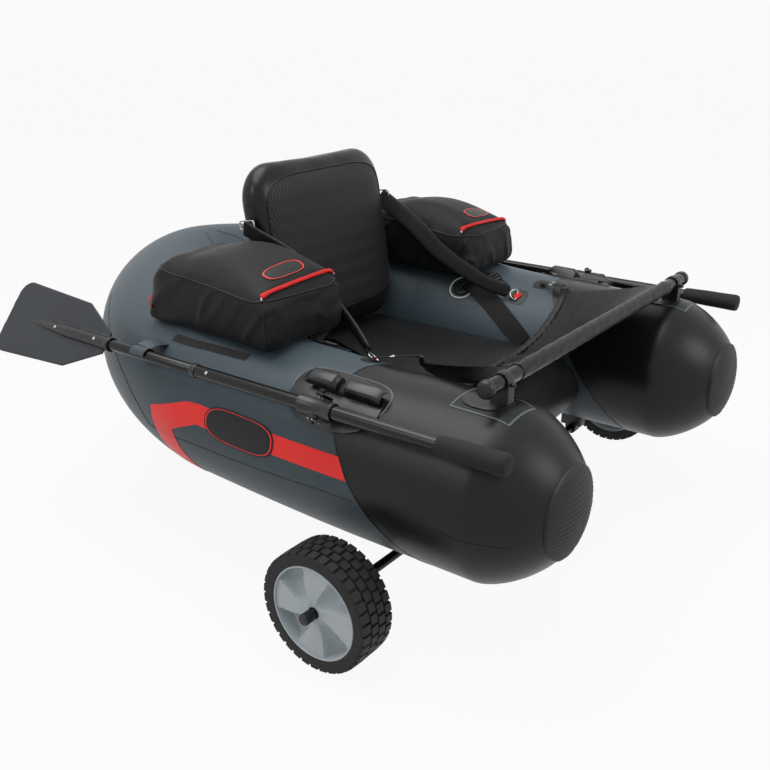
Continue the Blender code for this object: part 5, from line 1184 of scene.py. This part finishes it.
def curved(points, count):
    """A smooth run of count points through the given ones."""
    spans = len(points) - 1
    run = []
    for i in range(count):
        at = spans * i / (count - 1)
        k = min(int(at), spans - 1)
        t = at - k
        a, b, c, d = (Vector(points[min(max(k + j, 0), spans)]) for j in (-1, 0, 1, 2))
        run.append(0.5 * (2 * b + (c - a) * t + (2 * a - 5 * b + 4 * c - d) * t * t + (3 * b - a - 3 * c + d) * t ** 3))
    return run


ring_foot = skin_at(-0.258, -35.5, 0.0030)
ring_out = skin_out(-0.258, -35.5).normalized()
strap_low = Vector((0.272, -0.170, 0.545))
pull = (strap_low - ring_foot).normalized()
strap_end = ring_foot + pull * 0.0265
run = curved([in_back_frame(STRAP_LIE, 0.0535, 0.318), Vector((0.245, 0.025, 0.671)), Vector((0.245, -0.057, 0.612)),
              strap_low, strap_end], STRAP_STEPS + 1)
swell = [0.45 + 0.55 * min(1.0, min(i, STRAP_STEPS - i) / 5.0) + 0.05 * math.sin(i * 1.3)
         for i in range(STRAP_STEPS + 1)]
broad = [0.86 + 0.14 * math.cos(math.pi * min(1.0, max(0.0, (i - 20) / 40))) for i in range(STRAP_STEPS + 1)]
band("backrest_strap", run, STRAP_FACING, 2 * STRAP_HALF_WIDTH, 0.0115, swell, 3.2, 24, broad)
straps = both_sides("padded_strap", None, pad_web, "webbing", 60)
for side, label, piece in ((1, "left", straps[0]), (-1, "right", straps[1])):
    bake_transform(piece)
    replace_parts(piece, "backrest_strap_" + label)
    for edge, word in ((-1, "rear"), (1, "front")):
        line = []
        for i in range(2, STRAP_STEPS - 1):
            across = (run[i + 1] - run[i - 1]).normalized().cross(STRAP_FACING).normalized()
            spot = run[i] + across * edge * (STRAP_HALF_WIDTH * broad[i] - 0.0015)
            line.append(Vector((side * spot.x, spot.y, spot.z)))
        rod("strap_binding", line, 0.0021)
        welt = finished("strap_binding_" + label + "_" + word, None, piping_skin, "webbing", 60)
        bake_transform(welt)

RING_HALF, RING_FOOT, RING_NECK, RING_BOW = 0.0160, 0.0020, 0.0060, 0.0145
ring_wide = pull.cross(ring_out).normalized()
arc = [(-RING_HALF, RING_FOOT), (-RING_HALF, RING_NECK)]
arc += [(-RING_HALF * math.cos(math.pi * k / 16), RING_NECK + RING_BOW * math.sin(math.pi * k / 16))
        for k in range(1, 16)]
arc += [(RING_HALF, RING_NECK), (RING_HALF, RING_FOOT)]
rod("hull_d_ring", [ring_foot + ring_wide * u + pull * v for u, v in arc], 0.0020, closed=True)
both_sides("hull_d_ring", "hull", steel, "bright_steel", 60, "strap_ring")
laid_pill("ring_patch", 0.024, 8.0, 0.0010, 0.0016, black_skin, 0, (-0.262, -35.8))
hold = [skin_at(-0.266, -36.5, 0.0028)]
hold += [ring_foot + pull * v + ring_out * rise for v, rise in ((0.0015, 0.0030), (0.0040, 0), (0.0015, -0.0010))]
band("ring_red_keeper", hold, ring_out, 0.0200, 0.0018)
both_sides("ring_red_keeper", "hull", red_web, "red_tab", 50)
loop = [strap_end + pull * v + ring_out * rise
        for v, rise in ((-0.0040, 0), (0.0010, 0.0034), (0.0034, 0), (0, -0.0030))]
band("strap_ring_loop", loop, ring_out, 0.0240, 0.0018)
both_sides("strap_ring_loop", "hull", black_web, "webbing", 50)

belt_web = woven("belt_fabric", (0.0080, 0.0080, 0.0085), (0.0035, 0.0035, 0.0038), 0.55, 0.0020, 0.0022, 0.35)
BELT_WIDTH, BELT_STEPS = 0.052, 48
belt = [(-0.084, -32.0, 0.0030), (-0.107, -35.5, 0.0105), (-0.130, -38.5, 0.0145), (-0.160, -42.5, 0.0090),
        (-0.200, -49.0, 0.0040), (-0.245, -57.5, 0.0034), (-0.290, -66.5, 0.0030), (-0.325, -74.0, 0.0026)]
route = curved([skin_at(*station) for station in belt], BELT_STEPS + 1)
looks = [skin_out(*between([belt[0][:2], belt[-1][:2]], i / BELT_STEPS)).normalized() for i in range(BELT_STEPS + 1)]
band("seat_belt", route, looks, BELT_WIDTH, 0.0022, None, 8.0)
for web in both_sides("seat_belt", "hull", belt_web, "webbing", 50, "seat_web"):
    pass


# The air valves: a pale moulded ring glued through the inner skin, a dark recess, and a turning cap
# with a raised bar. The ring's printed words are left off.

valve_white = coated("valve_white_plastic", (0.74, 0.75, 0.75), (0.62, 0.63, 0.63), 0.40, 30.0, 0.04, 1500.0)
valve_dark = coated("valve_dark_plastic", (0.012, 0.012, 0.013), (0.024, 0.024, 0.025), 0.40, 40.0, 0.05, 1500.0)
VALVE_NORMAL, VALVE_SPOT = Vector((-0.656054, -0.047438, 0.753222)), Vector((0.30682, -0.09433, 0.50089))
RIB_COUNT, RIB_REACH = 24, 0.0249
lathe("valve_ring", [(0.0325, -0.0060), (0.0360, -0.0060), (0.0375, -0.0020), (0.0373, 0.0010), (0.0362, 0.0030),
                     (0.0346, 0.0036), (0.0332, 0.0028), (0.0325, 0.0006), (0.0325, -0.0060)],
      VALVE_SPOT, VALVE_NORMAL, 64)
both_sides("valve_ring_body", "hull", valve_white, "valve_ring", 40, "valve")
lathe("valve_well", [(0, -0.0020), (0.0280, -0.0020), (0.0300, 0.0012), (0.0323, 0.0014), (0.0323, -0.0062),
                     (0, -0.0062)], VALVE_SPOT, VALVE_NORMAL, 48)
both_sides("valve_well", "hull", valve_dark, "valve_ring", 40)
lathe("valve_cap", [(0, 0.0052), (0.0130, 0.0052), (0.0210, 0.0046), (0.0238, 0.0034), (0.0250, 0.0014),
                    (0.0250, -0.0008), (0.0244, -0.0016), (0, -0.0016)], VALVE_SPOT, VALVE_NORMAL, 56)
both_sides("valve_cap_body", "valve_turn", valve_dark, "valve_ring", 40, "valve_cap")
across = VALVE_NORMAL.cross(Vector((0.25, 1, 0))).normalized()
along = VALVE_NORMAL.cross(across).normalized()
rings = []
for lift, grow in ((0.0044, 1.0), (0.0080, 1.0), (0.0094, 0.94), (0.0099, 0.80)):
    rings.append([VALVE_SPOT + VALVE_NORMAL * lift + across * u * grow + along * v * grow
                  for u, v in superellipse(28, 0.0180, 0.0040, 4.0)])
lofted("valve_bar", rings)
both_sides("valve_bar", "valve_turn", valve_dark, "valve_ring", 40)
ribs = []
for k in range(RIB_COUNT):
    turn = math.tau * k / RIB_COUNT
    rim = VALVE_SPOT + across * (RIB_REACH * math.cos(turn)) + along * (RIB_REACH * math.sin(turn))
    ribs.append(rod("valve_grip_rib", [rim - VALVE_NORMAL * 0.0004, rim + VALVE_NORMAL * 0.0030], 0.0008))
for rib in ribs:
    rib.select_set(True)
bpy.context.view_layer.objects.active = ribs[0]
bpy.ops.object.join()
both_sides("valve_cap_ribs", "valve_turn", valve_dark, "valve_ring", 60)


# The oarlocks: a dark oval patch with a moulded base of two rounded lobes, a steel swivel post with a
# link plate, and the thole pin that carries the oar's collar, kept by a bent wire clip.

lock_plastic = coated("oarlock_plastic", (0.0065, 0.0065, 0.0070), (0.013, 0.013, 0.0135), 0.32, 35.0, 0.06,
                      1300.0, 0.0, 0.42)
OAR_POINT, ALONG = Vector((0.60498, -0.3405, 0.50399)), Vector((0, 1, 0))
PIN_AXIS = Vector((0.573576, 0, -0.819152))
laid_pill("oarlock_patch", 0.122, 17.0, 0.0012, 0.0020, patch_edge, 0, (-0.331, 31))
laid_pill("oarlock_patch_face", 0.119, 16.2, 0.0017, 0.0020, black_skin, 0, (-0.331, 31))
refined("oarlock_base_body", "oarlock_base", "hull", lock_plastic, "moulded_plastic", 0.0016, 3, 30, 40)
refined("oarlock_swivel_body", "oarlock_swivel", "oar", tube_paint, "bright_steel", 0.0008, 3, 30, 35)
refined("thole_pin_body", "thole_pin", "oar", tube_paint, "bright_steel", 0.0006, 2, 30, 40)
refined("retaining_clip_wire", "retaining_clip", "oar", steel, "bright_steel", 0.0001, 1, 60, 70)
lathe("oar_collar_body", [(0.0144, -0.0425), (0.0176, -0.0425), (0.0185, -0.0415), (0.0185, -0.0330),
                          (0.0181, -0.0322), (0.0181, 0.0322), (0.0185, 0.0330), (0.0185, 0.0415),
                          (0.0176, 0.0425), (0.0144, 0.0425), (0.0144, -0.0425)], OAR_POINT, ALONG, 40)
both_sides("oar_collar_body", "oar", lock_plastic, "moulded_plastic", 35, "oar_collar")
for k, way in enumerate((1, -1)):
    lathe("collar_boss", [(0.0044, 0), (0.0088, 0), (0.0096, -0.0010), (0.0100, -0.0060), (0.0044, -0.0060),
                          (0.0044, 0)], OAR_POINT + PIN_AXIS * (0.0215 * way), PIN_AXIS * way, 28)
    both_sides("collar_boss_" + str(k + 1), "oar", lock_plastic, "moulded_plastic", 40)
lathe("thole_washer", [(0.0045, 0.0015), (0.0080, 0.0015), (0.0084, 0.0010), (0.0084, 0), (0.0045, 0),
                       (0.0045, 0.0015)], OAR_POINT + PIN_AXIS * 0.0218, PIN_AXIS, 28)
both_sides("thole_washer", "oar", tube_paint, "bright_steel", 40)


# The oars: black coated tubes in two lengths joined by a push button, a foam grip, and a moulded blade
# whose socket runs out as a ridge along its middle, held by two rivets.

oar_paint = coated("oar_tube_paint", (0.0045, 0.0048, 0.0055), (0.0075, 0.0080, 0.0090), 0.17, 30.0, 0.03,
                   2400.0, 0.0, 0.30)
grip_foam = coated("grip_foam", (0.0160, 0.0160, 0.0165), (0.027, 0.027, 0.028), 0.78, 90.0, 0.16, 2600.0)
blade_skin = coated("blade_plastic", (0.027, 0.030, 0.035), (0.040, 0.045, 0.052), 0.42, 12.0, 0.04, 1600.0)
OAR_LINE = Vector((OAR_POINT.x, 0, OAR_POINT.z))

lathe("upper_shaft", [(0.0124, 0.0085), (0.0134, 0.0085), (0.0140, 0.0078), (0.0140, -0.760), (0.0124, -0.760),
                      (0.0124, 0.0085)], OAR_LINE, ALONG, 40)
both_sides("upper_shaft", "oar", oar_paint, "coated_tube", 40, "oar_shaft")
lathe("lower_shaft", [(0, -0.070), (0.0114, -0.070), (0.0122, -0.0690), (0.0122, 0.325), (0, 0.325)],
      OAR_LINE, ALONG, 40)
both_sides("lower_shaft", "oar", oar_paint, "coated_tube", 40, "blade_shaft")
lathe("shaft_end_ring", [(0.0141, -0.0040), (0.0152, -0.0040), (0.0156, -0.0030), (0.0156, 0.0085), (0.0150, 0.0098),
                         (0.0128, 0.0098), (0.0128, 0.0086), (0.0141, 0.0086), (0.0141, -0.0040)],
      OAR_LINE, ALONG, 40)
both_sides("shaft_end_ring", "oar", lock_plastic, "moulded_plastic", 40)
refined("push_button", "oar_button", "button", steel, "bright_steel", 0.0005, 2, 30, 40)
GRIP_R, GRIP_WAIST, GRIP_TAPER, GRIP_FROM, GRIP_LENGTH = 0.0215, 0.0010, 0.0025, -0.7540, 0.114
profile = [(0, -0.7690), (0.0150, -0.7690), (0.0190, -0.7675), (0.0208, -0.7645), (GRIP_R, -0.7600)]
for share in [k / 14 for k in range(15)]:
    swell = GRIP_R - GRIP_WAIST * math.sin(math.pi * share) - GRIP_TAPER * max(0.0, share - 0.6) / 0.4
    profile.append((swell, GRIP_FROM + GRIP_LENGTH * share))
profile += [(0.0186, -0.6350), (0.0182, -0.6290), (0.0174, -0.6255), (0.0160, -0.6240), (0.0143, -0.6240),
            (0.0143, -0.6300), (0.0143, -0.7550), (0, -0.7550)]
lathe("hand_grip", profile, OAR_LINE, ALONG, 48)
both_sides("hand_grip", "oar", grip_foam, "grip_foam", 50, "oar_grip")

BLADE_LEAN = math.radians(38.6)
BLADE_UP = Vector((-math.sin(BLADE_LEAN), 0, math.cos(BLADE_LEAN)))
BLADE_OUT = Vector((math.cos(BLADE_LEAN), 0, math.sin(BLADE_LEAN)))
BLADE_FROM, BLADE_SHOULDER, BLADE_ROUND, BLADE_TIP = 0.303, 0.415, 0.656, 0.034
BLADE_NECK, BLADE_BROAD, BLADE_WIDEST, BLADE_THICK = 0.027, 0.083, 0.096, 0.0024
RIDGE_FROM, RIDGE_LENGTH = 0.300, 0.320


def blade_half(y):
    """Half width of the blade along the oar."""
    if y < BLADE_SHOULDER:
        return BLADE_NECK + (BLADE_BROAD - BLADE_NECK) * (y - BLADE_FROM) / (BLADE_SHOULDER - BLADE_FROM)
    if y > BLADE_ROUND:
        return BLADE_WIDEST - BLADE_TIP * (1 - math.sqrt(max(0.0, 1 - ((y - BLADE_ROUND) / BLADE_TIP) ** 2)))
    return BLADE_BROAD + (BLADE_WIDEST - BLADE_BROAD) * (y - BLADE_SHOULDER) / (BLADE_ROUND - BLADE_SHOULDER)


def ridge_at(y):
    """Radius of the socket that runs out to a point along the blade."""
    share = min(1.0, max(0.0, (y - RIDGE_FROM) / RIDGE_LENGTH))
    return 0.0164 - 0.0022 * share - 0.0130 * max(0.0, (share - 0.45) / 0.55) ** 1.25


spread = [-1, -0.985, -0.95, -0.90, -0.72, -0.50, -0.34, -0.24, -0.17, -0.11, -0.05, 0,
          0.05, 0.11, 0.17, 0.24, 0.34, 0.50, 0.72, 0.90, 0.95, 0.985, 1]
stations = [BLADE_FROM + (BLADE_ROUND - BLADE_FROM) * i / 44 for i in range(45)]
stations += [BLADE_ROUND + BLADE_TIP * math.sin(math.pi / 2 * i / 9) for i in range(1, 10)]
rings = []
for y in stations:
    half = blade_half(y)
    ridge = max(0.0008, ridge_at(y) - 0.0020)
    ring = []
    for face in (1, -1):
        for share in spread[::face]:
            u = share * half
            thick = BLADE_THICK * (1 - 0.35 * abs(share) ** 8)
            thick += 0.0010 * math.exp(-((abs(share) - 0.93) / 0.025) ** 2) if abs(share) < 0.999 else -0.0008
            hump = max(0.0, 1 - (u / ridge) ** 2) ** 0.5 * ridge * 0.9 if abs(u) < ridge else 0.0
            side_rib = 0.0009 * math.exp(-((abs(u) - 0.52 * half) / 0.0045) ** 2)
            side_rib *= min(1.0, max(0.0, (y - 0.40) / 0.05))
            ring.append(OAR_LINE + ALONG * y + BLADE_UP * u + BLADE_OUT * face * max(thick + side_rib, hump))
    rings.append(ring)
lofted("blade_body", rings)
both_sides("blade_body", "oar", blade_skin, "blade_plastic", 30, "oar_blade")
profile = [(0.0124, 0.285), (0.0168, 0.285), (0.0176, 0.2862), (0.0176, 0.2950), (0.0168, 0.2962), (0.0165, 0.2980)]
profile += [(ridge_at(y), y) for y in (RIDGE_FROM + RIDGE_LENGTH * i / 24 for i in range(25))]
profile += [(0, 0.6215), (0, 0.330), (0.0124, 0.330), (0.0124, 0.285)]
lathe("blade_socket", profile, OAR_LINE, ALONG, 40)
both_sides("blade_socket", "oar", lock_plastic, "blade_plastic", 40)
for k, y in enumerate((0.334, 0.487)):
    for way, word in ((1, "outer"), (-1, "inner")):
        lathe("blade_rivet", [(0, 0.0018), (0.0022, 0.0018), (0.0038, 0.0010), (0.0042, 0), (0.0042, -0.0030),
                              (0, -0.0030)],
              OAR_LINE + ALONG * y + BLADE_OUT * way * ridge_at(y), BLADE_OUT * way, 20)
        both_sides("blade_rivet_" + str(k + 1) + "_" + word, "oar", steel, "bright_steel", 40)


# The keepers: a webbing cradle on each side of the stern skin that hugs the stowed lower shaft, with
# bound edges, a short web down to the skin, and a flat tongue from its top on to the hull.

KEEPER_Y, KEEPER_R, KEEPER_HALF, KEEPER_STEPS = 0.181, 0.01565, 0.0250, 48
keeper_middle = Vector((OAR_POINT.x, KEEPER_Y, OAR_POINT.z))
open_angle, opening = math.atan2(PIN_AXIS.z, PIN_AXIS.x), math.radians(64)
hoop, looks = [], []
for i in range(KEEPER_STEPS + 1):
    turn = open_angle + opening + (math.tau - 2 * opening) * i / KEEPER_STEPS
    looks.append(Vector((math.cos(turn), 0, math.sin(turn))))
    hoop.append(keeper_middle + looks[-1] * KEEPER_R)
band("keeper_cradle", hoop, looks, 2 * KEEPER_HALF, 0.0024)
both_sides("keeper_cradle", "hull", grey_skin, "grey_skin", 50, "oar_keeper")
for edge, word in ((-1, "front"), (1, "rear")):
    rod("keeper_binding", [spot + look * 0.0008 + ALONG * edge * KEEPER_HALF for spot, look in zip(hoop, looks)],
        0.0013)
    both_sides("keeper_binding_" + word, "hull", seam_black, "grey_skin", 50)
high = keeper_middle + Vector((math.cos(math.radians(118)), 0, math.sin(math.radians(118)))) * 0.0172
root = min((skin_at(BEND_Y + step / 400, 44.0, 0.0020) for step in range(160)),
           key=lambda spot: abs(spot.y - KEEPER_Y + 0.004))
tongue = [high, high.lerp(root, 0.35) + Vector((0, 0, 0.0040)), high.lerp(root, 0.70) + Vector((0, 0, 0.0030)), root,
          root + (root - high).normalized() * 0.012]
band("keeper_tongue", tongue, Vector((0.3, 0, 0.95)), 0.048, 0.0024)
both_sides("keeper_tongue", "hull", grey_skin, "grey_skin", 50)
hull_centre = centre_at(0.118)
toward = Vector((hull_centre.x - keeper_middle.x, 0, hull_centre.z - keeper_middle.z))
room = toward.length - tube_radius(KEEPER_Y)
toward.normalize()
leaf = [keeper_middle + toward * (0.0150 + (room - 0.0120) * i / 6) for i in range(7)]
band("keeper_web", leaf, ALONG.cross(toward), 0.046, 0.0046)
both_sides("keeper_web", "hull", grey_skin, "grey_skin", 50)


# The trolley axle: a black tube in two strapped mounts under the hull, with wheels running on its ends.

AXLE_Y, AXLE_Z = -0.421, 0.130
hub = Vector((0, AXLE_Y, AXLE_Z))
lathe("axle_tube", [(0, -0.7343), (0.0092, -0.7343), (0.0100, -0.7330), (0.0100, 0.7330), (0.0092, 0.7343),
                    (0, 0.7343)], hub, X, 36)
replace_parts(finished("axle_tube", "hull", tube_paint, "coated_tube", 40), "axle")
refined("axle_mount_body", "axle_mount", "hull", lock_plastic, "moulded_plastic", 0.0020, 3, 35, 35)
refined("axle_cap_body", "axle_cap", "hull", moulded, "moulded_plastic", 0.0012, 3, 35, 35)


# The wheels: a flat-faced moulded tyre with four staggered rows of tread blocks, on a grey plastic rim
# whose dished face has four flat petals with four deep scoops between them.

tyre_rubber = coated("tyre_rubber", (0.0165, 0.0165, 0.0175), (0.030, 0.030, 0.031), 0.62, 40.0, 0.12, 1200.0)
rim_plastic = coated("rim_plastic", (0.47, 0.515, 0.540), (0.39, 0.435, 0.46), 0.46, 20.0, 0.04, 1500.0)
WHEEL_IN, WHEEL_OUT = 0.640, 0.730
WHEEL_MIDDLE = (WHEEL_IN + WHEEL_OUT) / 2
TREAD_ROWS, TREAD_COUNT, TREAD_PITCH, BLOCK_HALF_WIDE, BLOCK_HALF_LONG = 4, 34, 0.0223, 0.0104, 0.0098
BLOCK_LEVELS, SHOULDER_DROP = ((0.1235, 1.0), (0.1299, 0.88)), 0.0012
lathe("tyre_carcass", [
    (0.1020, WHEEL_OUT - 0.0080), (0.1020, WHEEL_OUT - 0.0014), (0.1034, WHEEL_OUT - 0.0002), (0.1060, WHEEL_OUT),
    (0.1225, WHEEL_OUT - 0.0004), (0.1240, WHEEL_OUT - 0.0018), (0.1246, WHEEL_OUT - 0.0050), (0.1250, WHEEL_MIDDLE),
    (0.1246, WHEEL_IN + 0.0050), (0.1240, WHEEL_IN + 0.0018), (0.1225, WHEEL_IN + 0.0004), (0.1060, WHEEL_IN),
    (0.1020, WHEEL_IN + 0.0014), (0.1020, WHEEL_IN + 0.0080), (0.1020, WHEEL_OUT - 0.0080)], hub, X, 96)
both_sides("tyre_carcass", "wheel", tyre_rubber, "tyre_rubber", 40, "tyre")


def spoke(turn):
    """A unit vector in the wheel's plane."""
    return Vector((0, math.cos(turn), math.sin(turn)))


corners = []
for row in range(TREAD_ROWS):
    x = WHEEL_IN + 0.0115 + row * TREAD_PITCH
    for k in range(TREAD_COUNT):
        turn = math.tau * (k + 0.5 * (row % 2)) / TREAD_COUNT
        ahead = spoke(turn + math.pi / 2)
        for reach, grow in BLOCK_LEVELS:
            for a, b in ((-1, -1), (1, -1), (1, 1), (-1, 1)):
                shoulder = (row == 0 and a < 0) or (row == TREAD_ROWS - 1 and a > 0)
                corners.append(hub + X * (x + BLOCK_HALF_WIDE * a * (1.0 if shoulder else grow))
                               + spoke(turn) * (reach - (SHOULDER_DROP if shoulder else 0))
                               + ahead * BLOCK_HALF_LONG * b * grow)
faces = [(0, 1, 5, 4), (1, 2, 6, 5), (2, 3, 7, 6), (3, 0, 4, 7), (4, 5, 6, 7), (3, 2, 1, 0)]
made_of("tread_blocks", corners,
        [tuple(8 * i + k for k in face) for i in range(TREAD_ROWS * TREAD_COUNT) for face in faces])
mend()
both_sides("tyre_tread", "wheel", tyre_rubber, "tyre_rubber", 30)

RIM_FACE, RIM_SIDES = WHEEL_OUT - 0.0050, 144
SCOOP_DEPTH, SCOOP_TURN, SCOOP_FROM, SCOOP_TO = 0.030, 0.10, 0.0190, 0.0980
rings = []
for reach in [0.0130 + 0.0845 * (i / 30) for i in range(31)] + [0.0982]:
    ring = []
    for k in range(RIM_SIDES):
        turn = math.tau * k / RIM_SIDES
        swirl = SCOOP_TURN * math.cos(math.pi * (reach - 0.013) / 0.085)
        around = (turn + swirl) % (math.pi / 2) - math.pi / 4
        half = 0.375 + 0.03 * reach / 0.1
        sunk = 0.0
        if reach < SCOOP_TO and abs(around) < half:
            slope = min(1.0, max(0.0, (reach - SCOOP_FROM) / 0.055)) ** 0.7
            sunk = (1 - (around / half) ** 2) ** 0.55 * SCOOP_DEPTH * slope
        ring.append(hub + X * (RIM_FACE - sunk) + spoke(turn) * reach)
    rings.append(ring)
for reach, x in ((0.0984, WHEEL_OUT - 0.0012), (0.0995, WHEEL_OUT - 0.0003), (0.1010, WHEEL_OUT - 0.0003),
                 (0.1018, WHEEL_OUT - 0.0012), (0.1018, WHEEL_IN + 0.0030), (0.0960, WHEEL_IN + 0.0030),
                 (0.0900, WHEEL_IN + 0.0300), (0.0300, WHEEL_IN + 0.0300), (0.0280, WHEEL_IN + 0.0030),
                 (0.0130, WHEEL_IN + 0.0030)):
    rings.append([hub + X * x + spoke(math.tau * k / RIM_SIDES) * reach for k in range(RIM_SIDES)])
rings.append([spot.copy() for spot in rings[0]])
lofted("rim_body", rings, False)
mend(SAME_SPOT)
both_sides("rim_body", "wheel", rim_plastic, "rim_plastic", 32, "rim")
